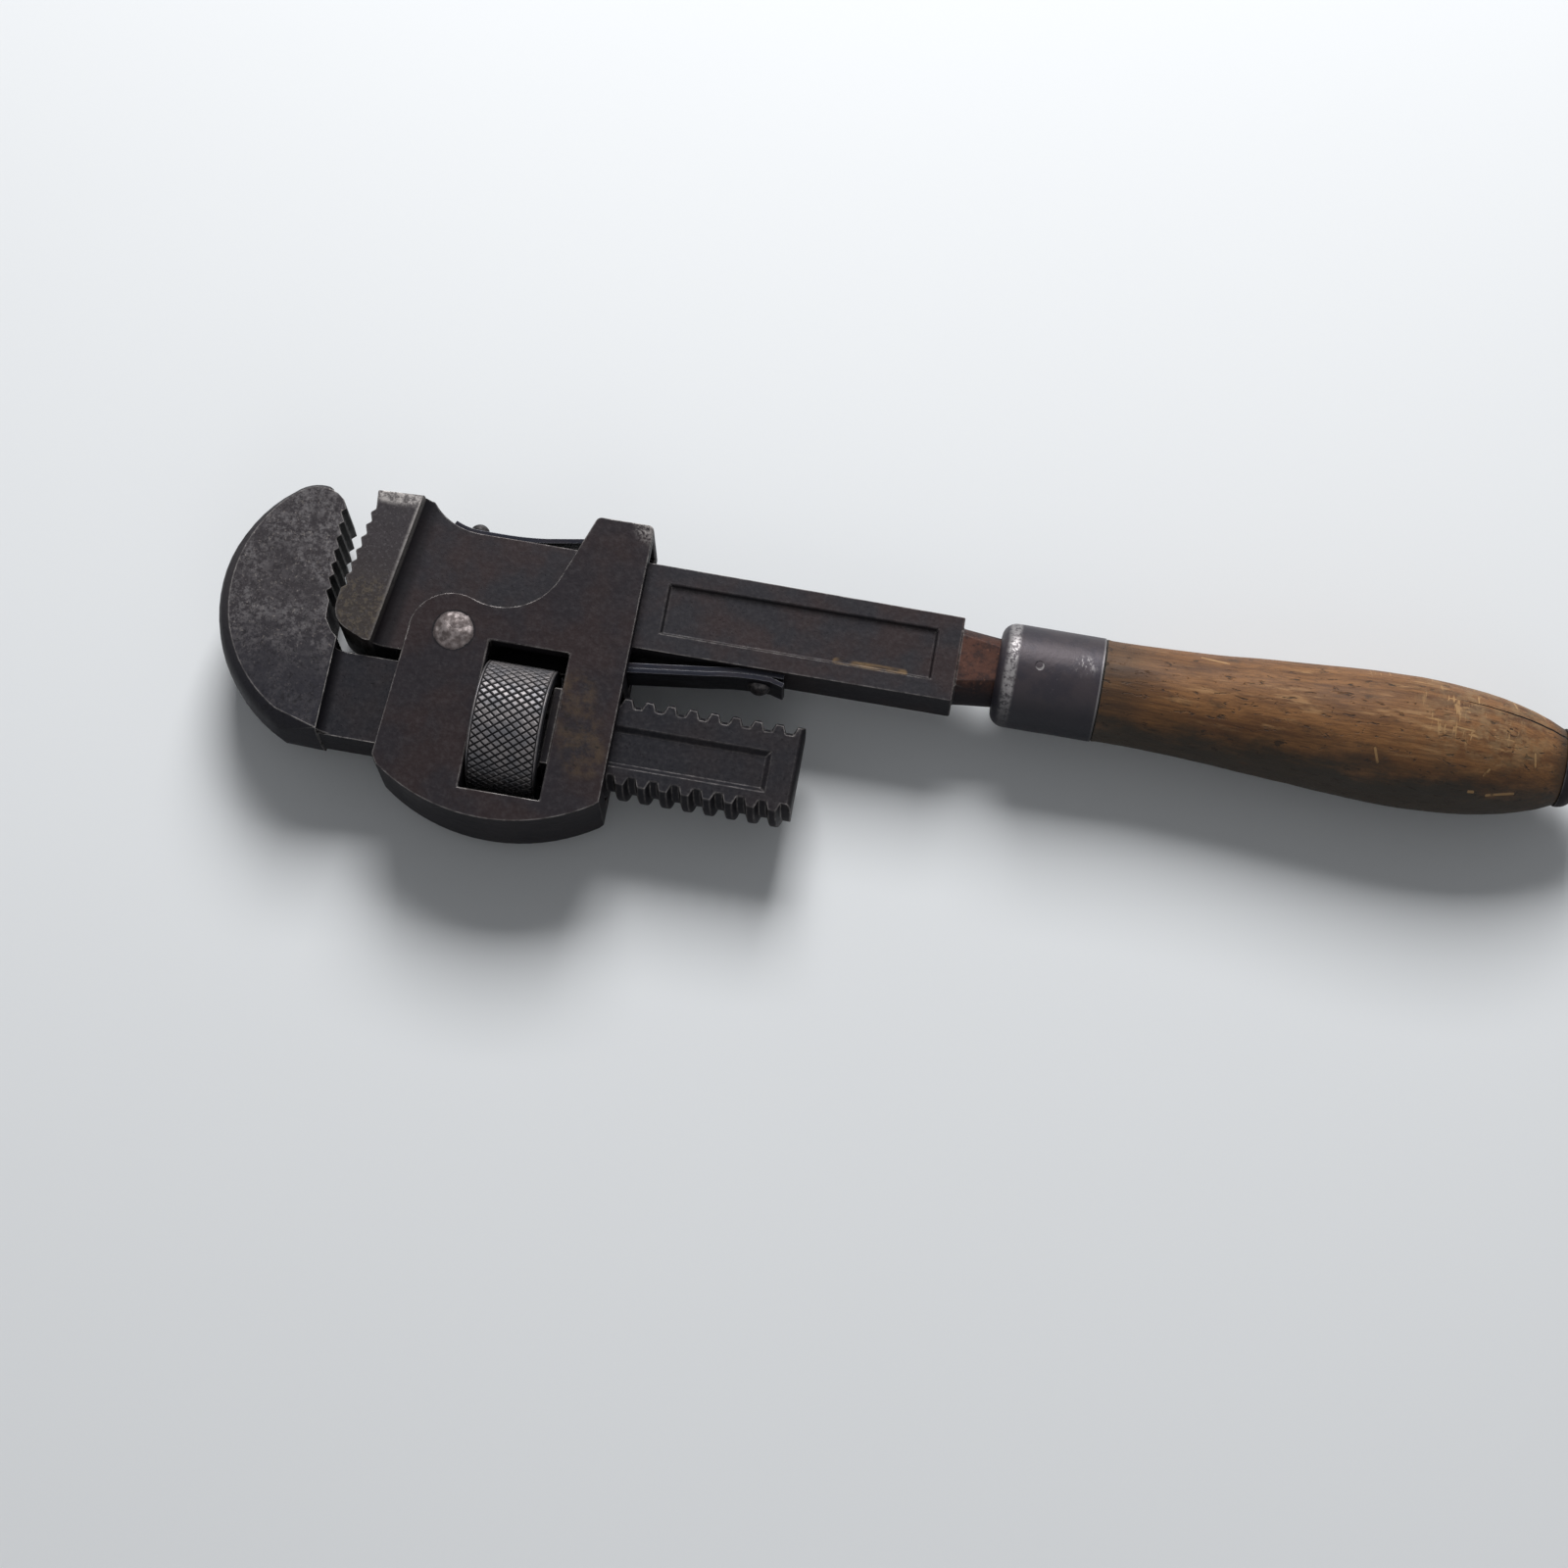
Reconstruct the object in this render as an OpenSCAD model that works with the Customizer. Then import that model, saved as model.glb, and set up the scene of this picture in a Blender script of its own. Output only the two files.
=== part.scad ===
// Adjustable pipe wrench with a wooden handle, lying flat, jaws towards -X.
// The pieces are drawn about the pivot of the frame, in the wrench's middle plane,
// and place() then sets the wrench down on z = 0 with its box centred on the origin.

/* [Bar] */
// Thickness of the bar, across the cheeks
bar_t = 9.5; // [7:0.1:10.5]
// Height of the bar's back edge above the pivot
bar_top_y = 20.6; // [18:0.1:21.6]
// Height of the bar's lower edge above the pivot
bar_low_y = 3.6; // [2.5:0.1:5]
// Distance from the pivot to the end of the flat bar
bar_end_x = 92.8; // [80:0.5:110]
// Radius of the bar's lug around the pivot
bar_lug_r = 5.0; // [4.6:0.1:5.6]
// Distance from the pivot to the start of the sunk panel
bar_panel_x = 37.3; // [36:0.5:50]
// Margin from the panel to the end of the flat bar
bar_panel_end = 4.5; // [3:0.5:12]
// Margin from the panel to the bar's edges
bar_panel_edge = 3.5; // [2:0.1:6]
// Depth of the sunk panels in the bar and in the shank
panel_depth = 0.9; // [0.2:0.1:1.2]

/* [Jaw heads] */
// Thickness of the jaw heads
head_t = 14.3; // [12.5:0.1:15.5]
// Depth of the jaw teeth
tooth_depth = 0.9; // [0.5:0.1:1.2]
// Pitch of the jaw teeth
tooth_pitch = 2.64; // [2.2:0.02:2.7]

/* [Heel jaw] */
// Number of teeth in the heel jaw
heel_teeth = 7; // [5:1:7]
// Place of the top tooth of the heel jaw, before the pivot
heel_tooth_x = 20.3; // [19.8:0.1:20.6]
// Height of the top tooth of the heel jaw above the pivot
heel_tooth_y = 20.6; // [20:0.1:21.5]
// Lean of the row of heel teeth from the vertical
heel_lean = 8.3; // [7:0.1:8.5]
// Height of the top of the heel jaw above the pivot
heel_top_y = 25.6; // [24:0.1:26.5]
// Width of the top of the heel jaw
heel_top_w = 8.7; // [7.5:0.1:10]
// Radius of the toe of the heel jaw
heel_toe_r = 4.9; // [4:0.1:5]

/* [Hook jaw] */
// Number of teeth in the hook jaw
hook_teeth = 8; // [6:1:8]
// Place of the top tooth of the hook jaw, before the pivot
hook_tooth_x = 24.8; // [24.6:0.1:28]
// Height of the top tooth of the hook jaw above the pivot
hook_tooth_y = 20.4; // [19.5:0.1:21]
// Lean of the row of hook teeth from the vertical
hook_lean = 2.3; // [1:0.1:2.5]
// Radius of the back of the hook
hook_back_r = 26.8; // [26:0.1:29]
// Swell of the hook's back beyond its faces, in the middle of its thickness
hook_swell = 2.6; // [0.5:0.1:3]
// Radius of the rounded tip of the hook
hook_tip_r = 6.4; // [5.8:0.1:7]
// Place of the step from the head to the shank, before the pivot
head_step_x = 21.2; // [20.5:0.1:21.4]
// Height of the shank at its flat faces, from edge to edge
shank_h = 16.4; // [15:0.1:16.6]
// Thickness of the shank
shank_t = 9.5; // [8:0.1:9.8]
// Depth of the shank's axis below the pivot
shank_drop = 14.8; // [14.6:0.1:15.4]
// Distance from the pivot to the end of the shank
shank_end_x = 67.2; // [61:0.1:71]
// Distance from the pivot to the first thread
thread_start_x = 2.0; // [-2:0.1:5]
// Pitch of the single right-hand thread
thread_pitch = 4.06; // [3.8:0.02:4.3]
// Depth of the thread
thread_depth = 1.4; // [1:0.1:1.6]
// Width of the crest of the thread
crest_w = 1.4; // [1:0.1:1.6]

/* [Frame] */
// Thickness of the frame over its cheeks
frame_t = 15.9; // [15:0.1:18]
// Distance from the pivot to the frame's rear face
frame_rear_x = 32.8; // [31:0.1:35]
// Distance from the pivot to the frame's front edge, at the foot
frame_front_x = 9.9; // [9.5:0.1:11]
// Height of the frame's back above the pivot
frame_top_y = 26.8; // [26.5:0.1:29]
// Wall of the frame over the back of the bar
bridge_t = 2.1; // [1.8:0.1:2.3]
// Length of the top of the bridge
bridge_w = 10.8; // [9.5:0.1:12]
// Radius of the frame's lugs around the pivot
lug_r = 7.95; // [7.5:0.05:8.5]
// Depth of the frame's belly below the pivot
belly_y = 34.5; // [33:0.1:37]
// Radius of the curve of the belly
belly_r = 35.6; // [34:0.1:45]
// Distance from the pivot to the front edge of the nut's window
window_x = 6.9; // [6.6:0.1:7.6]
// Height of the nut's window
window_h = 28.6; // [27:0.1:29]
// Height of the window's middle above the shank's axis
window_rise = -0.2; // [-0.5:0.1:0.5]
// Height of the thrust pad behind the nut
pad_h = 14.6; // [12:0.1:17]
// Height that the thrust pad stands into the window
pad_proud = 1.6; // [0.5:0.1:2]
// Wall of the frame between the bar and the shank
web_t = 3.05; // [2:0.05:3.3]

/* [Adjusting nut] */
// Outer radius of the nut
nut_r = 12.3; // [11.4:0.1:12.4]
// Width of the nut
nut_w = 13.1; // [12:0.1:14]
// Chamfer on the nut's rims
nut_chamfer = 0.5; // [0.2:0.1:1]

/* [Frame pin] */
// Radius of the frame pin
pin_r = 3.0; // [2.5:0.1:3.1]
// Radius of the domed heads of the pin
pin_head_r = 3.85; // [3.6:0.05:4.5]
// Height of the domed heads of the pin
pin_head_h = 1.3; // [1:0.1:1.6]

/* [Springs] */
// Thickness of the spring leaves
leaf_t = 0.95; // [0.7:0.05:1]
// Width of the spring leaves
leaf_w = 7.6; // [6:0.1:8.5]
// Distance from the pivot to the free end of the top spring
top_spring_end_x = 25.5; // [24.5:0.1:28]
// Bend radius of the top spring
top_spring_bend_r = 60; // [57:1:75]
// Place of the top spring's rivet, before the pivot
top_rivet_x = 0.4; // [0:0.1:0.8]
// Radius of the top spring's rivet
top_rivet_r = 1.0; // [0.8:0.1:1.2]
// Radius of the head of the top spring's rivet
top_rivet_head_r = 1.65; // [1.5:0.05:2.2]
// Distance from the pivot to the lower springs' rivet
low_rivet_x = 57; // [52:0.1:62]
// Radius of the lower springs' rivet
low_rivet_r = 1.5; // [1.2:0.1:1.8]
// Radius of the head of the lower springs' rivet
low_rivet_head_r = 2.2; // [2.1:0.1:3]
// Tail of the lower springs behind their rivet
low_spring_tail = 4.5; // [3.5:0.1:6]
// Bend radius of the lower springs
low_spring_bend_r = 50; // [45:1:58]
// Angle at which the lower springs leave the bar
low_spring_angle = 10.8; // [9.6:0.1:11]
// Distance that the lower springs reach into the frame
low_spring_reach = 5.8; // [3:0.1:8]

/* [Handle] */
// Height of the handle's axis above the pivot
handle_y = 12; // [11:0.1:12.5]
// Distance from the bar's end to the ferrule
neck_l = 7.2; // [5:0.1:12]
// Radius of the neck where it leaves the bar
neck_root_r = 7.2; // [6.8:0.1:8]
// Radius of the neck where it enters the ferrule
neck_tip_r = 6.3; // [5.8:0.1:6.6]
// Thickness of the neck, which is rounder than the bar
neck_t = 11.2; // [10.6:0.1:12.5]
// Radius of the tang inside the handle
tang_r = 3.6; // [3:0.1:4]
// Outer radius of the ferrule
ferrule_r = 9.8; // [9.6:0.1:10.6]
// Wall of the ferrule
ferrule_wall = 1.2; // [0.8:0.1:1.5]
// Length of the ferrule
ferrule_l = 19.4; // [15:0.1:25]
// Length of the wooden grip behind the ferrule
grip_l = 86; // [78:0.1:100]
// Largest radius of the grip
grip_belly_r = 12.4; // [11.8:0.1:13.4]
// Radius of the grip at the end cap
grip_end_r = 7.2; // [6.8:0.1:8.2]
// Distance from the ferrule to the thickest place of the grip
grip_belly_l = 58; // [50:1:64]
// Height of the domed end cap
cap_h = 4.3; // [4:0.1:6]
// Radius of the round nut on the tang
tang_nut_r = 4.9; // [4.7:0.1:5.5]
// Length of the round nut outside the end cap
tang_nut_h = 2.5; // [2:0.1:4]

/* [Fits] */
// Side clearance of the bar in the frame
bar_side_clear = 0.2; // [0.1:0.05:0.3]
// Clearance of the shank in the frame, on each side
shank_clear = 0.2; // [0.1:0.05:0.3]
// Running fit of the frame pin in the bar
pin_run_clear = 0.05; // [0.02:0.01:0.1]
// Fixed fits: pins, rivets, tang, ferrule and cap
fixed_clear = 0.02; // [0.01:0.01:0.05]
// Gap between a spring's free end and its seat in the frame
spring_gap = 0.25; // [0.2:0.05:0.3]
// Axial clearance of the nut in its window, on each side
nut_end_clear = 0.2; // [0.15:0.05:0.4]
// Radial clearance between the two threads
thread_radial_clear = 0.25; // [0.2:0.05:0.3]
// Flank clearance between the two threads
thread_flank_clear = 0.2; // [0.18:0.01:0.25]

/* [Hidden] */
$fn = 64;
eps = 0.01;
through = 400;
// Depth that joined solids run into each other
overlap = 1;

// Handle stations along X
ferrule_x = bar_end_x + neck_l;
ferrule_front_t = 2;
ferrule_round = 2.8;
neck_gap = 0.4;
spigot_gap = 0.1;
grip_x = ferrule_x + ferrule_l;
grip_end_x = grip_x + grip_l;
cap_rim = 0.6;
cap_end_x = grip_end_x + cap_rim + cap_h;
cap_proud = 0.1;
tang_nut_seat = 1.6;
tang_nut_chamfer = 0.8;
tang_end_gap = 0.8;
wrench_end_x = cap_end_x - tang_nut_seat + tang_nut_h;

// Hook jaw
hook_left_x = -42.8;
hook_back_c = [hook_left_x + hook_back_r, 3];
hook_tip_top_y = 23.9;
hook_tip_c = [-30, hook_tip_top_y - hook_tip_r];
shank_top_y = -shank_drop + shank_h / 2;
shank_low_y = -shank_drop - shank_h / 2;
shank_nose = 1;
thread_end_x = shank_end_x - shank_nose;

// Thread: the flat shank is a slab cut from a threaded rod
thread_major_r = norm([shank_h / 2, shank_t / 2]);
thread_minor_r = thread_major_r - thread_depth;
flank_slope = 0.45;
thread_mid_r = (thread_major_r + thread_minor_r) / 2;
thread_tilt = atan(thread_pitch / 360 * asin(shank_t / 2 / thread_mid_r) / (shank_t / 2));
root_w = crest_w + 2 * flank_slope * thread_depth;
nut_major_r = thread_major_r + thread_radial_clear;
nut_minor_r = thread_minor_r + thread_radial_clear;

// Back edge of the bar: level behind the heel jaw, and a little lower at the handle
back_rise = 0.2;
back_fall = 0.4;
back_y = bar_top_y + back_rise;
back_level_x = 12;

// Nut and its window
nut_x = window_x + nut_end_clear;
pad_x = nut_x + nut_w + nut_end_clear;
window_end_x = pad_x + pad_proud;
window_y = -shank_drop + window_rise;

// Frame channels
bar_slot_t = bar_t + 2 * bar_side_clear;
shank_slot_t = shank_t + 2 * shank_clear;
shank_slot_h = 2 * (thread_major_r + shank_clear);
bridge_y = frame_top_y - bridge_t;
web_low_y = -shank_drop + shank_slot_h / 2;
web_top_y = web_low_y + web_t;

// The thread's phase puts a tooth where the shank's end begins to round off
thread_phase_x = thread_end_x - thread_pitch * floor((thread_end_x - thread_start_x) / thread_pitch);

// The wrench's box, which place() centres
box_left_x = hook_left_x - hook_swell;
box_low_y = -belly_y;
box_top_y = max(frame_top_y, heel_top_y);
rest_z = max(grip_belly_r, nut_r, ferrule_r, frame_t / 2 + pin_head_h, head_t / 2);

// ---- Points and outlines ----

function unit(v) = v / norm(v);

// Points on an arc about c, from angle a0 to angle a1
function arc(c, r, a0, a1, n = 16) =
    [for (i = [0:n]) let (a = a0 + (a1 - a0) * i / n) c + r * [cos(a), sin(a)]];

// Rounding of radius r at corner p, between its neighbours a and b
function corner(a, p, b, r, n = 6) =
    let (u = unit(a - p), v = unit(b - p), half = acos(u * v) / 2)
    let (c = p + unit(u + v) * r / sin(half))
    let (s = p + u * r / tan(half) - c, e = p + v * r / tan(half) - c)
    let (a0 = atan2(s.y, s.x), turn = (atan2(e.y, e.x) - a0 + 540) % 360 - 180)
    arc(c, r, a0, a0 + turn, n);

// Outline whose points are [x, y, rounding]
function rounded(pts) =
    let (n = len(pts), at = function(i) [pts[i].x, pts[i].y])
    [for (i = [0:n - 1]) each pts[i].z > 0
        ? corner(at((i + n - 1) % n), at(i), at((i + 1) % n), pts[i].z) : [at(i)]];

// Ribbon of thickness t above a path that runs towards +X
function ribbon(path, t) =
    let (n = len(path) - 1)
    let (side = [for (i = [0:n]) let (d = unit(path[min(i + 1, n)] - path[max(i - 1, 0)])) [-d.y, d.x]])
    concat(path, [for (i = [n:-1:0]) path[i] + side[i] * t]);

// Tips of a row of teeth that runs down from tip 0 and leans by an angle
function tip(p0, lean, i) = p0 + tooth_pitch * i * [-sin(lean), -cos(lean)];

module slab(t) {
    translate([0, 0, -t / 2]) linear_extrude(t) children();
}

// Cylinder along X from x0, on the axis at height y
module rod(x0, y, r, l) {
    translate([x0, y, 0]) rotate([0, 90, 0]) cylinder(r = r, h = l);
}

// Solid of revolution about the X axis at height y, from [x, radius] points
module turned(y, pts) {
    translate([0, y, 0]) rotate([0, 90, 0]) rotate_extrude() polygon([for (p = pts) [p.y, p.x]]);
}

module place() {
    translate([-(box_left_x + wrench_end_x) / 2, -(box_low_y + box_top_y) / 2, rest_z]) children();
}

// Panels sunk in both cheeks of a plate of thickness t, with walls that slope in from the rim
module sunk_panels(low, high, t, wall) {
    function section(a, b, s) = [
        [a, s * (t / 2 + eps)], [a, s * t / 2], [a + wall, s * (t / 2 - panel_depth)],
        [b - wall, s * (t / 2 - panel_depth)], [b, s * t / 2], [b, s * (t / 2 + eps)]];
    for (s = [-1, 1]) intersection() {
        translate([low.x, 0, 0]) rotate([90, 0, 90])
            linear_extrude(high.x - low.x) polygon(section(low.y, high.y, s));
        translate([0, high.y, 0]) rotate([90, 0, 0])
            linear_extrude(high.y - low.y) polygon(section(low.x, high.x, s));
    }
}

// Concave fillet, from a raised face down to a lower one, along the line from a to b
module step_fillet(a, b, low, high) {
    d = b - a;
    r = high - low;
    translate([a.x, a.y, low])
        rotate([0, 0, atan2(d.y, d.x)])
            rotate([90, 0, 90])
                linear_extrude(norm(d))
                    difference() {
                        translate([-r, -eps]) square([r + eps, r + eps]);
                        translate([-r, r]) circle(r);
                    }
}

// ---- Bar with the heel jaw and the tang ----

heel_p0 = [-heel_tooth_x, heel_tooth_y];
heel_nose_x = 0.5 - heel_tooth_x;
heel_nose_drop = 0.4;
heel_land = 0.8;
heel_back_top = [heel_nose_x + heel_top_w, heel_top_y];
heel_back_low = [-15, -4.4];
heel_toe_low = [-16.6, -4.3];
heel_last = tip(heel_p0, heel_lean, heel_teeth - 1);
heel_toe_c = [heel_last.x - 0.25 + heel_toe_r, 1.6];
heel_flank = 0.68;

// Dips between the heel's teeth, which have their long flank below the tip
function heel_dip(i) = tip(heel_p0, heel_lean, i + heel_flank) + [tooth_depth, 0];

function heel_outline() = concat(
    [heel_back_low, heel_back_top, [heel_nose_x, heel_top_y - heel_nose_drop],
     [-heel_tooth_x + tooth_depth, heel_tooth_y + heel_land]],
    [for (i = [0:heel_teeth - 1]) each i < heel_teeth - 1
        ? [tip(heel_p0, heel_lean, i), heel_dip(i)] : [tip(heel_p0, heel_lean, i)]],
    arc(heel_toe_c, heel_toe_r, 175, 250, 8),
    [heel_toe_low]);

// Blend from the bar's back up to the heel jaw
back_blend_r = 12.5;
back_blend_c = [0.5, back_y + back_blend_r];

// Where the bar's outline closes inside the heel jaw
heel_core_low = [-17, -4.2];
heel_core_top = [-17, heel_top_y - 2];

// Where the bar's lower edge meets its lug, in front of the pivot and behind it
lug_front = [-2.4, 0.6 - bar_lug_r];
lug_rear = [bar_lug_r + 5.5, bar_low_y];

function bar_outline() = concat(
    [heel_core_low, heel_back_low, lug_front],
    arc([0, 0], bar_lug_r, -108, -40, 8),
    [lug_rear, [bar_end_x, bar_low_y], [bar_end_x, bar_top_y - back_fall], [back_level_x, back_y]],
    arc(back_blend_c, back_blend_r, 270, 219, 10),
    [heel_back_top, heel_core_top]);

bar_panel_wall = 0.4;

// The neck is a cone cut flat to the bar's thickness, then the tang runs through the handle
module neck() {
    intersection() {
        translate([bar_end_x - eps, handle_y, 0]) rotate([0, 90, 0])
            cylinder(r1 = neck_root_r, r2 = neck_tip_r, h = neck_l + ferrule_front_t);
        translate([bar_end_x - overlap, handle_y - through / 2, -neck_t / 2])
            cube([neck_l + ferrule_front_t + overlap, through, neck_t]);
    }
    rod(bar_end_x, handle_y, tang_r, wrench_end_x - bar_end_x - tang_end_gap);
}

module bar() {
    color("#3a3433") place() difference() {
        union() {
            slab(bar_t) polygon(bar_outline());
            slab(head_t) polygon(heel_outline());
            intersection() {
                for (s = [0, 1]) mirror([0, 0, s])
                    step_fillet(heel_back_low, heel_back_top, bar_t / 2, head_t / 2);
                slab(head_t) polygon(bar_outline());
            }
            neck();
        }
        sunk_panels([bar_panel_x, bar_low_y + bar_panel_edge],
                    [bar_end_x - bar_panel_end, bar_top_y - bar_panel_edge], bar_t, bar_panel_wall);
        cylinder(r = pin_r + pin_run_clear, h = through, center = true);
        translate([-top_rivet_x, bar_top_y - top_rivet_l, 0]) rotate([-90, 0, 0])
            cylinder(r = top_rivet_r + fixed_clear, h = top_rivet_l * 2);
        translate([low_rivet_x, bar_low_y - overlap, 0]) rotate([-90, 0, 0])
            cylinder(r = low_rivet_r + fixed_clear, h = low_rivet_l + overlap);
    }
}

// ---- Hook jaw ----

hook_p0 = [-hook_tooth_x, hook_tooth_y];
hook_flank = 0.3;

// Dips between the hook's teeth, which have their short flank below the tip
function hook_dip(i) = tip(hook_p0, -hook_lean, i + hook_flank) - [tooth_depth, 0];

// Under the teeth the head steps back and runs down to the shank
hook_last = tip(hook_p0, -hook_lean, hook_teeth - 1);
relief_land = 1.5;
relief_out = 0.15;
relief_drop = 1.9;
relief_foot = 1.8;
relief_bend_x = 1.2;
relief_bend_y = 1.1;
relief_top = hook_last - [0, relief_land];
relief_mid = relief_top + [relief_out, -relief_drop];
relief_low = [-head_step_x, shank_top_y + relief_foot];
relief_bend = relief_low + [-relief_bend_x, relief_bend_y];
hook_land = 1.7;
step_inset = 0.3;
step_low = [-head_step_x, shank_low_y + step_inset];
step_top = [-head_step_x, shank_top_y];

function hook_outline() = concat(
    [step_low, step_top, relief_low, relief_bend, relief_mid, relief_top],
    [for (i = [hook_teeth - 1:-1:0]) each i > 0
        ? [tip(hook_p0, -hook_lean, i), hook_dip(i - 1)] : [tip(hook_p0, -hook_lean, i)]],
    [[-hook_tooth_x - tooth_depth, hook_tooth_y + hook_land]],
    arc(hook_tip_c, hook_tip_r, 62, 128, 8),
    arc(hook_back_c, hook_back_r, 139, 240, 24));

// The hook's back swells between its faces: shares of the half thickness and of the swell
swell_shares = [[1, 0], [0.86, 0.55], [0.6, 0.86], [0.24, 1]];
swell_low = 0.6;
tip_share = 0.5;

// Back of the hook with a share of the swell, which grows from the tip downwards
function swollen_back(share) =
    [for (a = [140:5:240 + 8 * share])
        let (grown = tip_share + (1 - tip_share) * sin(min(90, (a - 140) * 2.5)))
        hook_back_c + (hook_back_r + hook_swell * share * grown) * [cos(a), sin(a)]];

module hook_back() {
    hull() for (q = swell_shares)
        slab(head_t * q[0]) polygon(concat(
            [step_low - [0, swell_low * q[1]]],
            arc(hook_tip_c, hook_tip_r + hook_swell * tip_share * q[1], 80, 128, 6),
            swollen_back(q[1])));
}

// One tooth of the shank on its +Y edge: part of a ring with the thread's section, set at its lead
module shank_tooth(x) {
    core = thread_minor_r - overlap;
    translate([x, 0, 0]) intersection() {
        rotate([0, thread_tilt, 0])
            turned(0, [[-root_w / 2, core], [-root_w / 2, thread_minor_r], [-crest_w / 2, thread_major_r],
                       [crest_w / 2, thread_major_r], [root_w / 2, thread_minor_r], [root_w / 2, core]]);
        translate([-thread_pitch, thread_minor_r / 2, -shank_t / 2])
            cube([2 * thread_pitch, thread_major_r, shank_t]);
    }
}

// Outline of the shank seen from its edge, with the end rounded off
function shank_side() =
    let (nose = [for (a = [0:15:90]) [shank_nose * sin(a), nose_depth * (cos(a) - 1)]])
    concat([[-head_step_x, -shank_t / 2], [-head_step_x, shank_t / 2]],
           [for (q = nose) [thread_end_x, shank_t / 2] + q],
           [for (i = [len(nose) - 1:-1:0]) [thread_end_x + nose[i].x, -shank_t / 2 - nose[i].y]]);

module shank() {
    translate([-head_step_x - overlap, shank_low_y, -shank_t / 2])
        cube([head_step_x + overlap + thread_start_x, shank_h, shank_t]);
    translate([0, -shank_drop, 0]) intersection() {
        rotate([90, 0, 0]) linear_extrude(through, center = true) polygon(shank_side());
        union() {
            rod(-head_step_x, 0, thread_minor_r, shank_end_x + head_step_x);
            for (x = [thread_phase_x:thread_pitch:thread_end_x + eps]) {
                shank_tooth(x);
                rotate([180, 0, 0]) shank_tooth(x - thread_pitch / 2);
            }
        }
    }
}

nose_depth = 2.2;
shank_panel_x = 12;
shank_panel_end = 4.3;
shank_panel_h = 7.9;
shank_panel_y = -shank_drop - shank_panel_h / 2 - 1;
shank_panel_wall = 0.9;

module hook_jaw() {
    color("#55504e") place() difference() {
        union() {
            slab(head_t) polygon(hook_outline());
            hook_back();
            for (s = [0, 1]) mirror([0, 0, s])
                step_fillet(step_low, step_top, shank_t / 2, head_t / 2);
            shank();
        }
        sunk_panels([shank_panel_x, shank_panel_y],
                    [thread_end_x - shank_panel_end, shank_panel_y + shank_panel_h],
                    shank_t, shank_panel_wall);
    }
}

// ---- Frame ----

lug_c = [-0.6, -0.6];
valley_c = [6.5, 17.5];
valley_r = norm(valley_c - lug_c) - lug_r;
blend_a = atan2(valley_c.y - lug_c.y, valley_c.x - lug_c.x);
belly_c = [12.2, belly_r - belly_y];
bridge_x = frame_rear_x - bridge_w;
edge_r = 1.2;
valley_end_a = 20;

// The belly's arc ends in a small cut at the front foot and at the rear one
front_cut = [1, 1.6];
rear_cut = [0.8, 0.8];
belly_a0 = belly_angle(front_cut.x - frame_front_x);
belly_a1 = belly_angle(frame_rear_x - rear_cut.x);

function belly_angle(x) = -acos((x - belly_c.x) / belly_r);
function belly_at(a) = belly_c.y + belly_r * sin(a);

// The thrust pad stops short of the cheeks' outer faces
pad_inset = 0.5;

function frame_outline() = concat(
    arc(belly_c, belly_r, belly_a0, belly_a1, 20),
    rounded([[frame_rear_x, belly_at(belly_a1) + rear_cut.y, 0],
             [frame_rear_x, frame_top_y, edge_r], [bridge_x, frame_top_y, edge_r],
             [valley_c.x + valley_r * cos(valley_end_a), valley_c.y - valley_r * sin(valley_end_a), 0]]),
    arc(valley_c, valley_r, -valley_end_a - 2, blend_a - 180, 12),
    arc(lug_c, lug_r, blend_a, 186, 12),
    [[-frame_front_x, belly_at(belly_a0) + front_cut.y]]);

module frame_window() {
    translate([window_x, window_y - window_h / 2, -through / 2])
        cube([window_end_x - window_x, window_h, through]);
}

// The bar's channel is closed by the bridge above and the web below behind the window,
// and it runs down into the shank's channel in front of it.
module frame_channels() {
    translate([-through / 2, web_top_y, -bar_slot_t / 2])
        cube([through, bridge_y - web_top_y, bar_slot_t]);
    translate([-through / 2, -shank_drop, -bar_slot_t / 2])
        cube([through / 2 + window_end_x, bridge_y + shank_drop, bar_slot_t]);
    translate([-through / 2, -shank_drop - shank_slot_h / 2, -shank_slot_t / 2])
        cube([through, shank_slot_h, shank_slot_t]);
}

// Above the lug's valley the channel is open to the back, in front of the bridge
module frame() {
    color("#3d3331") place() {
        difference() {
            slab(frame_t) polygon(frame_outline());
            frame_window();
            frame_channels();
            cylinder(r = pin_r + fixed_clear, h = through, center = true);
        }
        difference() {
            translate([pad_x, -shank_drop - pad_h / 2, -frame_t / 2 + pad_inset])
                cube([pad_proud + overlap, pad_h, frame_t - 2 * pad_inset]);
            frame_channels();
        }
    }
}

// ---- Adjusting nut ----

// The thread inside the nut: a helical ridge that fills the shank's slots less the clearance
ridge_tip_w = thread_pitch - root_w + 2 * flank_slope * thread_radial_clear - 2 * thread_flank_clear;
ridge_sink = 0.25;
ridge_end_gap = 0.1;
ridge_base_r = nut_major_r + ridge_sink;
ridge_base_w = ridge_tip_w + 2 * flank_slope * (ridge_base_r - nut_minor_r);
ridge_margin = ridge_base_w / 2 + ridge_end_gap;
ridge_steps_per_turn = 24;
ridge_phase_x = thread_phase_x + thread_pitch / 2;
ridge_a0 = (nut_x + ridge_margin - ridge_phase_x) / thread_pitch * 360;
ridge_turns = (nut_w - 2 * ridge_margin) / thread_pitch;

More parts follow.
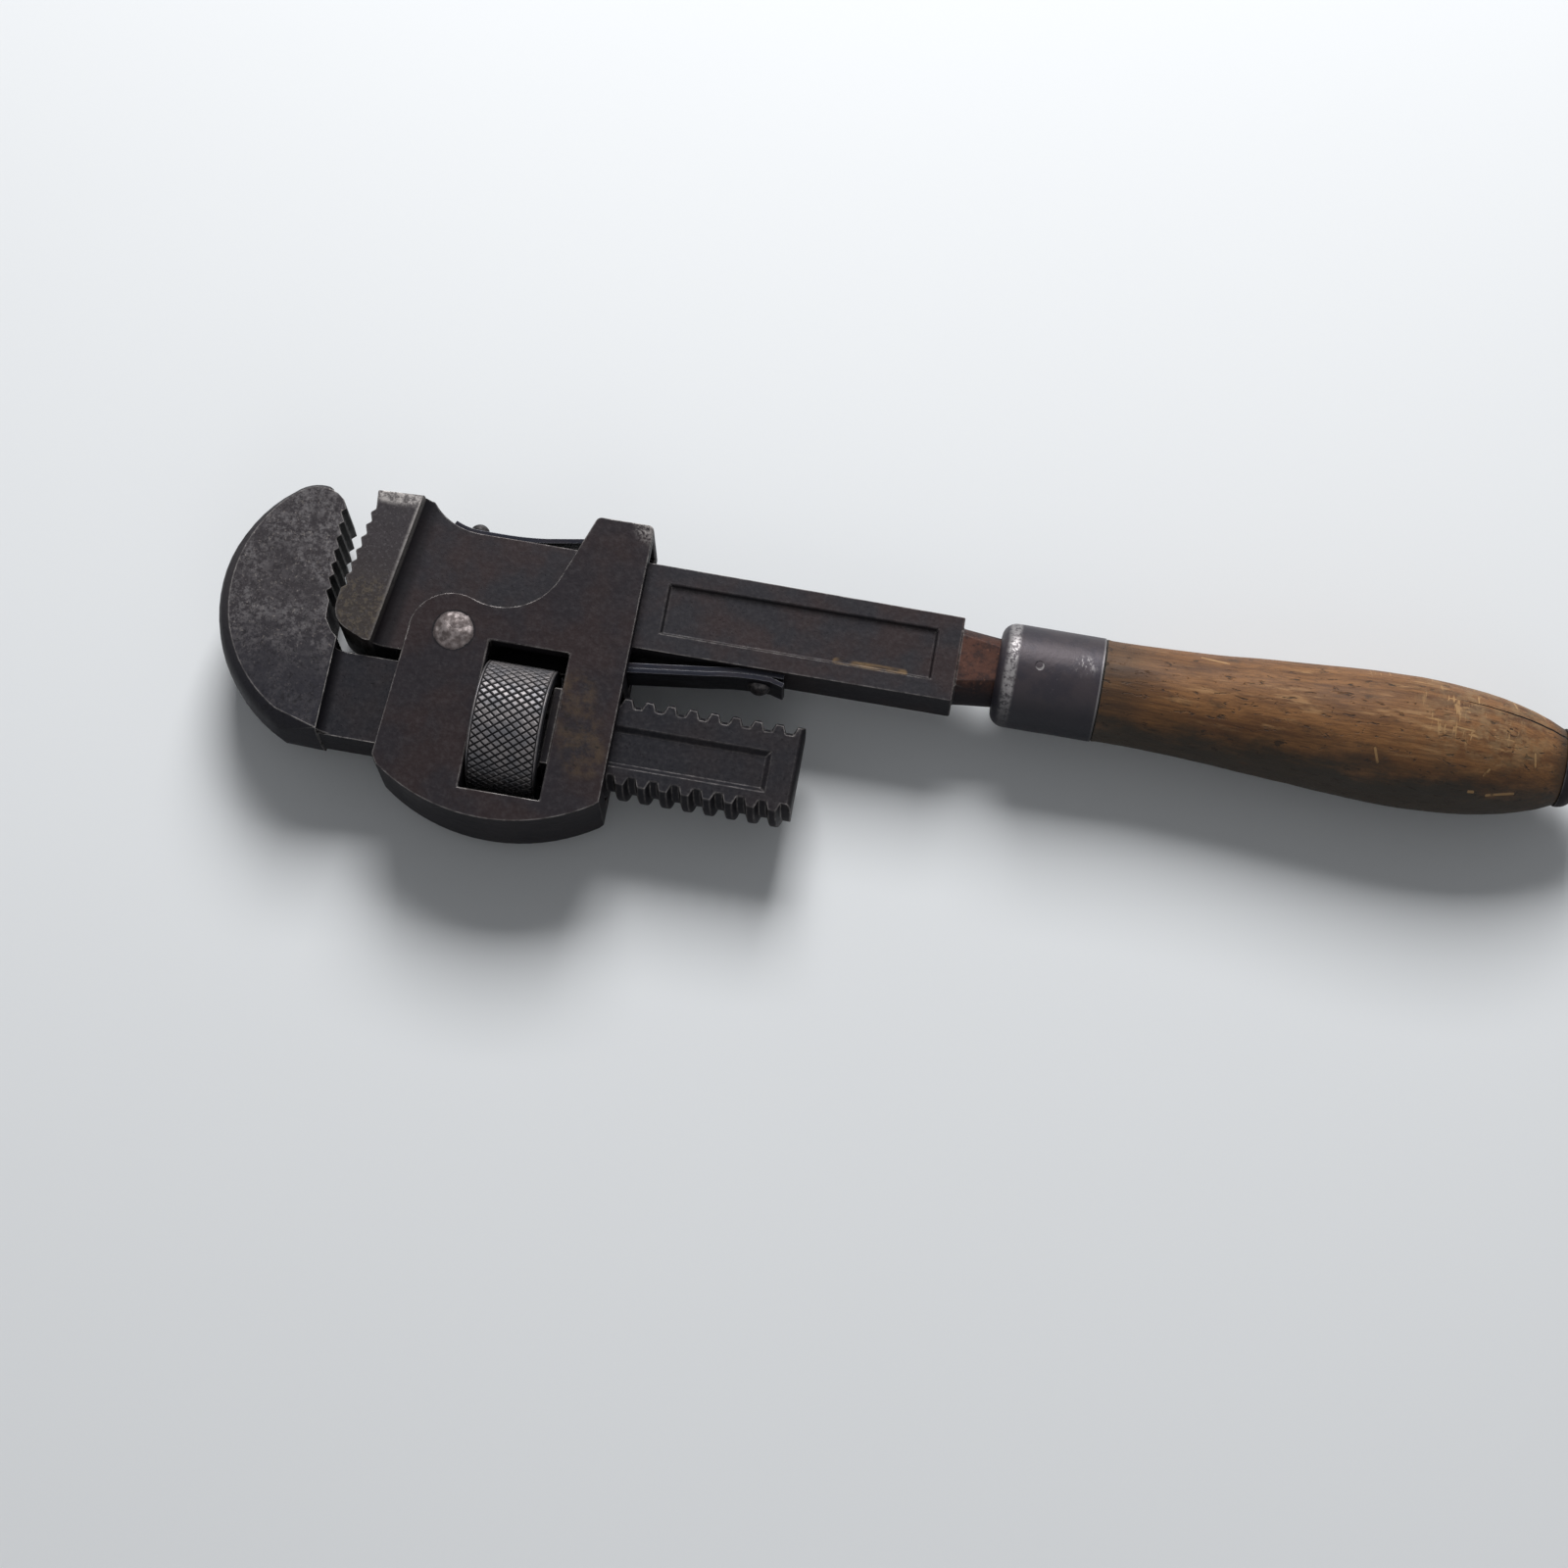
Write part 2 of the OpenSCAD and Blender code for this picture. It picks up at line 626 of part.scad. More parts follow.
module nut_ridge() {
    n = ceil(ridge_turns * ridge_steps_per_turn);
    pts = [for (i = [0:n])
        let (a = ridge_a0 + 360 * ridge_turns * i / n, x = ridge_phase_x + thread_pitch * a / 360)
        each [for (q = [[-ridge_base_w / 2, ridge_base_r], [-ridge_tip_w / 2, nut_minor_r],
                        [ridge_tip_w / 2, nut_minor_r], [ridge_base_w / 2, ridge_base_r]])
            [x + q.x, q.y * cos(a), q.y * sin(a)]]];
    sides = [for (i = [0:n - 1], k = [0:3]) let (a = 4 * i + k, b = 4 * i + (k + 1) % 4)
        each [[a, b + 4, b], [a, a + 4, b + 4]]];
    translate([0, -shank_drop, 0])
        polyhedron(pts, concat(sides, [[0, 1, 2, 3], [4 * n + 3, 4 * n + 2, 4 * n + 1, 4 * n]]));
}

module adjusting_nut() {
    c = nut_chamfer;
    e = nut_x + nut_w;
    color("#6d7478") place() {
        turned(-shank_drop, [[nut_x, nut_major_r], [nut_x, nut_r - c], [nut_x + c, nut_r],
                             [e - c, nut_r], [e, nut_r - c], [e, nut_major_r]]);
        nut_ridge();
    }
}

// ---- Frame pin ----

// Radius of the sphere whose cap has base radius r and height h
function cap_sphere_r(r, h) = (r * r + h * h) / (2 * h);

// Domed head that stands on z = 0
module dome(r, h) {
    s = cap_sphere_r(r, h);
    intersection() {
        translate([0, 0, h - s]) sphere(s);
        cylinder(r = r + 1, h = h + 1);
    }
}

module frame_pin() {
    color("#6b625e") place() {
        cylinder(r = pin_r, h = frame_t + eps, center = true);
        for (s = [0, 1]) mirror([0, 0, s])
            translate([0, 0, frame_t / 2]) dome(pin_head_r, pin_head_h);
    }
}

// ---- Springs ----

top_spring_flat = 5;
top_spring_bend = 8;
leaf_seat = 0.02;
top_bend_a = asin(top_spring_bend / top_spring_bend_r);
top_rivet_l = 5;
top_rivet_head_h = 0.9;
top_rivet_rise = 1.2;
rivet_seat = 0.1;

// The top rivet's head rests on the rising part of its leaf, at the edge nearer to the jaw
top_head_y = back_blend_c.y + fixed_clear
    - sqrt(pow(back_blend_r - leaf_seat - leaf_t, 2)
           - pow(back_blend_c.x + top_rivet_x + top_rivet_head_r, 2));

// Underside of the top spring: up the blend to the heel, flat on the bar, then up to the bridge
function top_spring_path() = concat(
    arc(back_blend_c, back_blend_r - leaf_seat, 244, 270, 8),
    arc([top_spring_flat, back_y + leaf_seat + top_spring_bend_r], top_spring_bend_r,
        270, 270 + top_bend_a, 6),
    [[top_spring_end_x, bridge_y - spring_gap - leaf_t]]);

module top_spring() {
    color("#2c2f36") place() difference() {
        slab(leaf_w) polygon(ribbon(top_spring_path(), leaf_t));
        translate([-top_rivet_x, bar_top_y, 0]) rotate([-90, 0, 0])
            cylinder(r = top_rivet_r + fixed_clear, h = top_rivet_l);
    }
}

module top_spring_rivet() {
    color("#4a4644") place()
        translate([-top_rivet_x, top_head_y, 0]) rotate([-90, 0, 0]) {
            translate([0, 0, -top_rivet_l]) cylinder(r = top_rivet_r, h = top_rivet_l + eps);
            cylinder(r = top_rivet_head_r, h = top_rivet_rise + eps);
            translate([0, 0, top_rivet_rise]) dome(top_rivet_head_r, top_rivet_head_h);
        }
}

// Top face of the upper leaf of the lower spring, from its tail to its tip inside the frame
low_spring_x = frame_rear_x - low_spring_reach;
low_spring_flat = 2;
low_rivet_l = 6;
low_rivet_head_h = 1.6;
leaf_splay = 0.7;

// Underside of a leaf: it lies at a depth under the bar and at a height over its seat on the
// frame's web, and its tail drops by the splay
function low_spring_path(depth, lift, splay) =
    let (y = bar_low_y - leaf_seat - depth)
    concat([[low_spring_x, web_top_y + spring_gap + lift]],
           arc([low_rivet_x, y - low_spring_bend_r], low_spring_bend_r, 90 + low_spring_angle, 90, 6),
           [[low_rivet_x + low_spring_flat, y], [low_rivet_x + low_spring_tail, y - splay]]);

module low_leaf(depth, lift, splay) {
    color("#2c2f36") place() difference() {
        slab(leaf_w) polygon(ribbon(low_spring_path(depth + leaf_t, lift, splay), leaf_t));
        translate([low_rivet_x, bar_low_y + overlap, 0]) rotate([90, 0, 0])
            cylinder(r = low_rivet_r + fixed_clear, h = low_rivet_l);
    }
}

module lower_spring_upper_leaf() {
    low_leaf(0, leaf_t + leaf_seat, 0);
}

module lower_spring_lower_leaf() {
    low_leaf(leaf_t + leaf_seat, 0, leaf_splay);
}

module lower_spring_rivet() {
    color("#4a4644") place()
        translate([low_rivet_x, bar_low_y - 2 * (leaf_t + leaf_seat) - rivet_seat, 0]) rotate([90, 0, 0]) {
            translate([0, 0, -low_rivet_l]) cylinder(r = low_rivet_r, h = low_rivet_l + eps);
            dome(low_rivet_head_r, low_rivet_head_h);
        }
}

// ---- Handle ----

ferrule_bore_r = ferrule_r - ferrule_wall;
neck_hole_r = neck_tip_r + neck_gap;

module ferrule() {
    e = ferrule_x + ferrule_l;
    front = ferrule_x + ferrule_front_t;
    color("#33313a") place() turned(handle_y, concat(
        [[ferrule_x, neck_hole_r]],
        arc([ferrule_x + ferrule_round, ferrule_r - ferrule_round], ferrule_round, 180, 90, 6),
        [[e, ferrule_r], [e, ferrule_bore_r], [front, ferrule_bore_r], [front, neck_hole_r]]));
}

function smooth(t) = t * t * (3 - 2 * t);
grip_step = 0.2;
grip_front_r = ferrule_r - grip_step;
grip_tail_a = (grip_l - grip_belly_l) / sin(acos(grip_end_r / grip_belly_r));

// Radius of the grip at a distance behind the ferrule
function grip_r(d) = d < grip_belly_l
    ? grip_front_r + (grip_belly_r - grip_front_r) * smooth(pow(d / grip_belly_l, 1.1))
    : grip_belly_r * sqrt(1 - pow((d - grip_belly_l) / grip_tail_a, 2));

module wooden_handle() {
    front = ferrule_x + ferrule_front_t + spigot_gap;
    spigot_r = ferrule_bore_r - fixed_clear;
    bore_r = tang_r + fixed_clear;
    steps = 28;
    color("#7a5a3c") place() turned(handle_y, concat(
        [[front, bore_r], [front, spigot_r], [grip_x + fixed_clear, spigot_r]],
        [for (i = [0:steps]) [grip_x + fixed_clear + (grip_l - fixed_clear) * i / steps,
                              grip_r(grip_l * i / steps)]],
        [[grip_end_x, bore_r]]));
}

module end_cap() {
    r = grip_end_r + cap_proud;
    x = grip_end_x + fixed_clear;
    color("#2f2c2b") place() intersection() {
        turned(handle_y, concat(
            [[x, tang_r + fixed_clear]],
            [[x, r]],
            [for (i = [0:10]) [x + cap_rim + cap_h * sin(9 * i), r * cos(9 * i)]]));
        difference() {
            rod(x, handle_y, r, through);
            rod(cap_end_x - tang_nut_seat, handle_y, tang_nut_r + fixed_clear, through);
            rod(x - overlap, handle_y, tang_r + fixed_clear, through);
        }
    }
}

module tang_nut() {
    x = cap_end_x - tang_nut_seat + fixed_clear;
    r = tang_nut_r;
    e = x + tang_nut_h;
    color("#393534") place() turned(handle_y, [
        [x, tang_r + fixed_clear], [x, r], [e - tang_nut_chamfer, r], [e, r - tang_nut_chamfer],
        [e, tang_r + fixed_clear]]);
}

bar();
hook_jaw();
frame();
adjusting_nut();
frame_pin();
top_spring();
top_spring_rivet();
lower_spring_upper_leaf();
lower_spring_lower_leaf();
lower_spring_rivet();
ferrule();
wooden_handle();
end_cap();
tang_nut();
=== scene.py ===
"""Dresses the packed pipe wrench: worn forged steel, a knurled nut and an oiled wooden grip."""

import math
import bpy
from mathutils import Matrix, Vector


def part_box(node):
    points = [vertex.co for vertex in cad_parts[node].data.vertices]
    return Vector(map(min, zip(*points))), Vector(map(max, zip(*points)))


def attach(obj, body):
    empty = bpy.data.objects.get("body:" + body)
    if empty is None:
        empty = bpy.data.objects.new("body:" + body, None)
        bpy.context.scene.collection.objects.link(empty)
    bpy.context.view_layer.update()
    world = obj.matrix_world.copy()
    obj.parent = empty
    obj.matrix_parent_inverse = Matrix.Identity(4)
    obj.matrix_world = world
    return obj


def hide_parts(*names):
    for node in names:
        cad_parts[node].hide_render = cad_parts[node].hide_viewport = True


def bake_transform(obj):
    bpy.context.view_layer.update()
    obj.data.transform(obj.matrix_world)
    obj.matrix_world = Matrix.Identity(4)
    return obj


bl_info = {
    "name": "Pipe Wrench",
    "version": (1, 0, 0),
    "blender": (4, 5, 0),
    "location": "View3D > Sidebar > Wrench",
    "description": "Models and finishes the visible pieces of an adjustable pipe wrench",
    "category": "Mesh",
}

import bpy
from mathutils import Vector
from mathutils.bvhtree import BVHTree
from mathutils.kdtree import KDTree

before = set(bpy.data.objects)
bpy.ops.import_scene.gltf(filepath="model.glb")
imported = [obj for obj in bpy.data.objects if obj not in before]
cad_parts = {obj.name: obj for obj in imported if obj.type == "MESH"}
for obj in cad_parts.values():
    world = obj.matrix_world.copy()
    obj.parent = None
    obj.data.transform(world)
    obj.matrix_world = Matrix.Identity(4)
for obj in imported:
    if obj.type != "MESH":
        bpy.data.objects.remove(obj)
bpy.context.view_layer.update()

MM = 0.001
# Vertices of a CAD node's copy that lie this close become one
MERGE = 0.002 * MM
# Faces that meet at less than this angle are parts of one flat face
FLAT = math.radians(0.2)
# Edges that turn by more than this many degrees are rounded, unless a piece says otherwise
SHARP = 32
# A bevelled vertex may lie this share of the bevel's width off the old surface
STRAY_SHARE = 0.5
# An edge is to blame for a stray vertex within this many widths of one of its ends
BLAME_REACH = 1.5
# Edges shorter than this are left out of a bevel before the long ones are
SHORT_EDGE = 3 * MM
# Longer than any edge of the wrench
ANY_EDGE = 1.0
# Vertices of a turned CAD node that lie this close in its section are of one ring
RING_WIDTH = 0.04 * MM
# Sine of the angle up to which two vertices of it are at the same turn
SAME_TURN = 1e-3
# A turned section has a corner where it bends by more than this
CORNER = math.radians(25)
# Vertices of a made piece that lie this close to a place are at it
TOUCH = 0.05 * MM

# Towards the handle's end, towards the bar's back, and up
TO_HANDLE = (1, 0, 0)
TO_BACK = (0, 1, 0)
UP = (0, 0, 1)
# Towards the lower front side of the handle, where the ferrule and the grip are painted in shade
UNDERNEATH = (0, -0.85, -0.5)


def middle(node):
    """Centre of a CAD node's box"""
    low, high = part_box(node)
    return (low + high) / 2


NUT_LOW, NUT_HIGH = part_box("adjusting_nut")
NUT_AXIS = middle("adjusting_nut")
NUT_RADIUS = (NUT_HIGH.z - NUT_LOW.z) / 2
PIN_LOW, PIN_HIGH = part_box("frame_pin")
PIN_AXIS = middle("frame_pin")
CHEEK_LOW, CHEEK_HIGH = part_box("frame")
GRIP_LOW, GRIP_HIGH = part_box("wooden_handle")
GRIP_AXIS = middle("wooden_handle")
FERRULE_LOW, FERRULE_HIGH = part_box("ferrule")
JAW_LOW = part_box("hook_jaw")[0]
BAR_LOW, BAR_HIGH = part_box("bar")
FRAME_THICK = CHEEK_HIGH.z - CHEEK_LOW.z
PIN_RADIUS = (PIN_HIGH.x - PIN_LOW.x) / 2
GRIP_RADIUS = (GRIP_HIGH.z - GRIP_LOW.z) / 2


# ---- Settings ----


def colour_setting(name, default, description):
    """A colour that a user can change"""
    return bpy.props.FloatVectorProperty(
        name=name, description=description, subtype="COLOR", size=3, min=0, max=1, default=default)


def length_setting(name, default, low, high, description):
    """A length that a user can change, given here in millimetres"""
    return bpy.props.FloatProperty(
        name=name, description=description, unit="LENGTH", min=low * MM, max=high * MM,
        default=default * MM)


class WrenchSteel(bpy.types.PropertyGroup):
    """Colours and edges of the forged and rolled steel"""

    oxide: colour_setting(
        "Oxide", (0.0195, 0.0185, 0.0220), "Dark skin of the bar and the frame")
    patina: colour_setting(
        "Patina", (0.0250, 0.0176, 0.0185), "Reddish brown patches in the dark skin")
    rust: colour_setting(
        "Rust", (0.066, 0.030, 0.022), "Rust on the neck and in small spots")
    forged_grey: colour_setting(
        "Forged grey", (0.105, 0.098, 0.102), "Rubbed grey skin of the jaw heads")
    bare: colour_setting(
        "Bare steel", (0.30, 0.28, 0.27), "Worn edges and rubbed places")
    # Besides old oil in pits and joints, this colour is painted shade on upright faces, in the fillet behind
    # the heel's pad, in the corner behind the hook's head and on the frame's sunk faces
    grime_and_shade: colour_setting(
        "Grime", (0.006, 0.0055, 0.007), "Old oil in pits, corners and joints")
    spring_blue: colour_setting(
        "Spring blue", (0.009, 0.010, 0.016), "Blued skin of the leaf springs")
    ferrule_skin: colour_setting(
        "Ferrule skin", (0.039, 0.031, 0.036), "Purple brown skin of the ferrule")
    edge_round: length_setting(
        "Edge rounding", 0.28, 0.05, 0.6, "Width of the worn rounding on the forged edges")
    tooth_round: length_setting(
        "Tooth rounding", 0.16, 0.05, 0.3, "Width of the rounding on the hook jaw's edges")


class WrenchNut(bpy.types.PropertyGroup):
    """Sizes and colours of the adjusting nut's knurl"""

    diamonds_around: bpy.props.IntProperty(
        name="Diamonds around", description="Diamonds in one row round the nut",
        min=24, max=96, default=48)
    diamonds_across: bpy.props.IntProperty(
        name="Diamonds across", description="Diamonds in one row along the nut",
        min=4, max=14, default=6)
    knurl_depth: length_setting(
        "Knurl depth", 0.34, 0.05, 0.5, "Depth of the grooves between the diamonds")
    groove: length_setting(
        "Groove", 0.20, 0.05, 0.3, "Width of one flank of a groove")
    rim: length_setting(
        "Plain rim", 0.42, 0.2, 1.2, "Width of the plain rim beside the knurl")
    crest: colour_setting(
        "Crests", (0.19, 0.175, 0.175), "Rubbed tops of the diamonds")
    depth_colour: colour_setting(
        "Grooves", (0.010, 0.010, 0.013), "Old oil in the grooves")


class WrenchWood(bpy.types.PropertyGroup):
    """Colours and surface of the wooden grip"""

    honey: colour_setting(
        "Honey", (0.222, 0.105, 0.041), "Light wood where the hand rubs it")
    umber: colour_setting(
        "Umber", (0.080, 0.036, 0.017), "Dark streaks of the grain")
    grime_and_shade: colour_setting(
        # Under the grip this colour is painted shade, elsewhere old oil
        "Grime", (0.020, 0.018, 0.014), "Old oil near the ferrule and under the grip")
    scratch: colour_setting(
        "Scratches", (0.42, 0.25, 0.11), "Fresh scratches towards the end of the grip")
    waviness: length_setting(
        "Waviness", 0.22, 0, 0.5, "Depth of the hollows that use has worn in the wood")
    crack: length_setting(
        "Crack", 0.7, 0, 1.5, "Depth of the drying crack at the end of the grip")


class WrenchStudio(bpy.types.PropertyGroup):
    """The floor, the lights and the camera"""

    floor: colour_setting(
        "Floor", (0.80, 0.82, 0.84), "Colour of the floor and of the background")
    key_power: bpy.props.FloatProperty(
        name="Key light", description="Power of the soft light behind the wrench",
        min=0, max=60, default=12.5)
    fill_power: bpy.props.FloatProperty(
        name="Fill light", description="Power of the soft light in front",
        min=0, max=40, default=0.6)
    ambient: bpy.props.FloatProperty(
        name="Ambient", description="Strength of the light from all round",
        min=0, max=1, default=0.20)
    lens: bpy.props.FloatProperty(
        name="Lens", description="Focal length of the camera in millimetres",
        min=20, max=200, default=69.77)


# ---- Ways to model ----


def only(piece):
    """Makes a piece the only selected object, in object mode"""
    if bpy.context.mode != "OBJECT":
        bpy.ops.object.mode_set(mode="OBJECT")
    bpy.ops.object.select_all(action="DESELECT")
    piece.select_set(True)
    bpy.context.view_layer.objects.active = piece


def pick(piece, kind, test):
    """Selects the vertices, edges or faces of a piece that pass a test, in edit mode"""
    only(piece)
    mesh = piece.data
    for group in (mesh.vertices, mesh.edges, mesh.polygons):
        group.foreach_set("select", [False] * len(group))
    chosen = {"VERT": mesh.vertices, "EDGE": mesh.edges, "FACE": mesh.polygons}[kind]
    for item in chosen:
        item.select = test(item)
    kinds = ("VERT", "EDGE", "FACE")
    bpy.context.tool_settings.mesh_select_mode = tuple(kind == k for k in kinds)
    bpy.ops.object.mode_set(mode="EDIT")


def new_piece(primitive, name, **settings):
    """Adds a primitive, names it and applies its place"""
    bpy.ops.object.select_all(action="DESELECT")
    primitive(**settings)
    piece = bpy.context.object
    piece.name = name
    bpy.ops.object.transform_apply(location=True, rotation=True, scale=True)
    return piece


def edit_all(piece):
    """Selects all of a piece, in edit mode"""
    only(piece)
    bpy.ops.object.mode_set(mode="EDIT")
    bpy.ops.mesh.select_all(action="SELECT")


def apply_modifier(piece, kind, **settings):
    """Adds a modifier, sets it and applies it"""
    only(piece)
    modifier = piece.modifiers.new(kind.title(), kind)
    for name, value in settings.items():
        setattr(modifier, name, value)
    bpy.ops.object.modifier_apply(modifier=modifier.name)


def off_axis(point, axis):
    """Distance of a point from an axis along X"""
    return math.hypot(point.y - axis.y, point.z - axis.z)


def working_copy(node, name, whole_faces=True):
    """A merged copy of a CAD node, with its flat faces whole again"""
    piece = bpy.data.objects.new(name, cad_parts[node].data.copy())
    bpy.context.scene.collection.objects.link(piece)
    piece.data.materials.clear()
    only(piece)
    bpy.ops.mesh.customdata_custom_splitnormals_clear()
    edit_all(piece)
    bpy.ops.mesh.remove_doubles(threshold=MERGE)
    if whole_faces:
        bpy.ops.mesh.dissolve_limited(angle_limit=FLAT)
    only(piece)
    return piece


def sharp_edges(mesh, sharp):
    """Indices of the edges whose two faces meet at more than an angle in degrees"""
    sides = {}
    for polygon in mesh.polygons:
        for key in polygon.edge_keys:
            sides.setdefault(key, []).append(polygon.normal)
    return {edge.index for edge in mesh.edges
            if sides[edge.key][0].angle(sides[edge.key][-1], 0) > math.radians(sharp)}


def stray_spots(mesh, shape, reach):
    """Corners of the faces that lie further than a reach off a shape"""
    mesh.calc_loop_triangles()
    points = [v.co.copy() for v in mesh.vertices]
    off = [shape.find_nearest(p)[3] > reach for p in points]
    spots = [p for p, stray in zip(points, off) if stray]
    for triangle in mesh.loop_triangles:
        corners = [points[i] for i in triangle.vertices]
        centre = sum(corners, Vector()) / 3
        if any(off[i] for i in triangle.vertices) or shape.find_nearest(centre)[3] > reach:
            spots += corners
    return spots


def round_edges(piece, width, sharp=SHARP):
    """Bevels the sharp edges, but leaves out those whose bevel would stray off the shape"""
    plain = piece.data.copy()
    shape = BVHTree.FromPolygons([v.co for v in plain.vertices],
                                 [polygon.vertices[:] for polygon in plain.polygons])
    chosen = sharp_edges(plain, sharp)
    # Short edges are left out first, since the long ones show
    for longest in (SHORT_EDGE,) * 3 + (ANY_EDGE,) * 3:
        weights = piece.data.attributes.new("bevel_weight_edge", "FLOAT", "EDGE")
        weights.data.foreach_set("value", [float(i in chosen) for i in range(len(plain.edges))])
        apply_modifier(piece, "BEVEL", width=width, segments=2, limit_method="WEIGHT",
                       use_clamp_overlap=False)
        spots = stray_spots(piece.data, shape, STRAY_SHARE * width)
        if not spots:
            break
        places = KDTree(len(spots))
        for index, spot in enumerate(spots):
            places.insert(spot, index)
        places.balance()
        ends = {i: [plain.vertices[k].co for k in plain.edges[i].vertices] for i in chosen}
        chosen -= {i for i, (a, b) in ends.items() if (a - b).length < longest
                   and min(places.find(a)[2], places.find(b)[2]) < BLAME_REACH * width}
        piece.data = plain.copy()


def section_of(node):
    """The closed section of a turned CAD node, as (x, radius) points in order"""
    copy = working_copy(node, "Section", whole_faces=False)
    axis = middle(node)
    rings, ring_of, turns = [], [], []
    for v in copy.data.vertices:
        spot = Vector((v.co.x, off_axis(v.co, axis)))
        turns.append(math.atan2(v.co.y - axis.y, v.co.z - axis.z))
        ring = next((i for i, ring in enumerate(rings) if (ring - spot).length < RING_WIDTH), None)
        if ring is None:
            ring = len(rings)
            rings.append(spot)
        rings[ring].y = max(rings[ring].y, spot.y)
        ring_of.append(ring)
    links = {i: set() for i in range(len(rings))}
    for edge in copy.data.edges:
        a, b = edge.vertices
        if ring_of[a] != ring_of[b] and abs(math.sin(turns[a] - turns[b])) < SAME_TURN:
            links[ring_of[a]].add(ring_of[b])
            links[ring_of[b]].add(ring_of[a])
    bpy.data.objects.remove(copy)
    walk = [min(links, key=lambda i: tuple(rings[i]))]
    while len(walk) < len(rings):
        last = rings[walk[-1]]
        left = [i for i in links if i not in walk]
        beside = [i for i in left if abs(rings[i].x - last.x) < RING_WIDTH]
        onward = [i for i in left if i in links[walk[-1]]] or beside or left
        walk.append(min(onward, key=lambda i: (rings[i] - last).length))
    return [tuple(rings[i]) for i in walk]


def finer(points, step):
    """Adds points between those of a closed section, along smooth curves that keep its corners"""
    spots = [Vector(p) for p in points]
    count = len(spots)

    def is_corner(i):
        a, b = spots[i] - spots[i - 1], spots[(i + 1) % count] - spots[i]
        return a.angle(b) > CORNER

    result = []
    for i in range(count):
        p1, p2 = spots[i], spots[(i + 1) % count]
        p0 = p1 if is_corner(i) else spots[i - 1]
        p3 = p2 if is_corner((i + 1) % count) else spots[(i + 2) % count]
        pieces = max(1, math.ceil((p2 - p1).length / step))
        span = (p2 - p1).length
        m1 = (p2 - p0).normalized() * span
        m2 = (p3 - p1).normalized() * span
        for k in range(pieces):
            t = k / pieces
            result.append(p1 * (2 * t ** 3 - 3 * t ** 2 + 1) + m1 * (t ** 3 - 2 * t ** 2 + t)
                          + p2 * (3 * t ** 2 - 2 * t ** 3) + m2 * (t ** 3 - t ** 2))
    widest = max(p.y for p in spots)
    return [(p.x, min(p.y, widest)) for p in result]


def extrude_ring(axis, x, radius, next_x, next_radius):
    """Draws the selected ring of edges on to another place and radius"""
    grow = next_radius / radius
    bpy.ops.mesh.extrude_edges_move(TRANSFORM_OT_translate={"value": (next_x - x, 0, 0)})
    bpy.ops.transform.resize(value=(1, grow, grow), center_override=(next_x, axis.y, axis.z))


def turned_piece(node, name, step, sides):
    """Turns the section of a turned CAD node anew, ring by ring, with a ring at every step"""
    axis = middle(node)
    section = finer(section_of(node), step)
    x, radius = section[0]
    piece = new_piece(bpy.ops.mesh.primitive_circle_add, name, vertices=sides, radius=radius,
                      location=(x, axis.y, axis.z), rotation=(0, math.pi / 2, 0))
    edit_all(piece)
    bpy.context.tool_settings.mesh_select_mode = (False, True, False)
    for next_x, next_radius in section[1:]:
        extrude_ring(axis, x, radius, next_x, next_radius)
        x, radius = next_x, next_radius
    pick(piece, "EDGE", open_edges(piece))
    bpy.ops.mesh.bridge_edge_loops()
    edit_all(piece)
    bpy.ops.mesh.normals_make_consistent(inside=False)
    only(piece)
    return piece


def open_edges(piece):
    """A test for the edges that have a face on one side only"""
    only(piece)
    tally = {}
    for polygon in piece.data.polygons:
        for key in polygon.edge_keys:
            tally[key] = tally.get(key, 0) + 1
    return lambda e: tally.get(e.key, 0) == 1


def mirror_down(piece, centre):
    """Adds the mirror image of a piece below a level plane"""
    mark = bpy.data.objects.new("mirror_mark", None)
    bpy.context.scene.collection.objects.link(mark)
    mark.location = centre
    bpy.context.view_layer.update()
    apply_modifier(piece, "MIRROR", use_axis=(False, False, True), use_mirror_merge=False,
                   mirror_object=mark)
    bpy.data.objects.remove(mark)


def dent(piece, kind, size, depth, detail=None, **settings):
    """Presses hollows of a size into a piece"""
    hollows = bpy.data.textures.new(piece.name + "_dents", kind)
    hollows.noise_scale = size
    if detail is not None:
        hollows.noise_depth = detail
    apply_modifier(piece, "DISPLACE", texture=hollows, strength=-depth, mid_level=0.0, **settings)


def join(piece, other):
    """Joins another object into a piece"""
    only(piece)
    other.select_set(True)
    bpy.ops.object.join()


def shade(piece, angle=35):
    """Smooth shading that leaves the flat faces flat"""
    only(piece)
    bpy.ops.object.shade_smooth_by_angle(angle=math.radians(angle))
    apply_modifier(piece, "WEIGHTED_NORMAL", mode="FACE_AREA", weight=100, keep_sharp=True)


def settle(piece, body, slot, material, *nodes):
    """Gives a finished piece its material and its body if it has one, and hides the CAD nodes that it stands
    for
    """
    only(piece)
    bpy.ops.object.transform_apply(location=True, rotation=True, scale=True)
    piece.data.materials.clear()
    piece.data.materials.append(material)
    if body:
        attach(piece, body)
    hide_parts(*nodes)


def dress_copy(node, name, rounding, body, slot, material, sharp=SHARP):
    """Rounds the edges of a CAD node's copy and finishes it"""
    piece = working_copy(node, name)
    round_edges(piece, rounding, sharp)
    shade(piece)
    settle(piece, body, slot, material, node)
    return piece


def coat(node, material):
    """Puts a material on a CAD node that keeps its shape"""
    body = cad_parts[node]
    if body.material_slots:
        body.material_slots[0].material = material
    else:
        body.data.materials.append(material)


# ---- Ways to build a finish ----


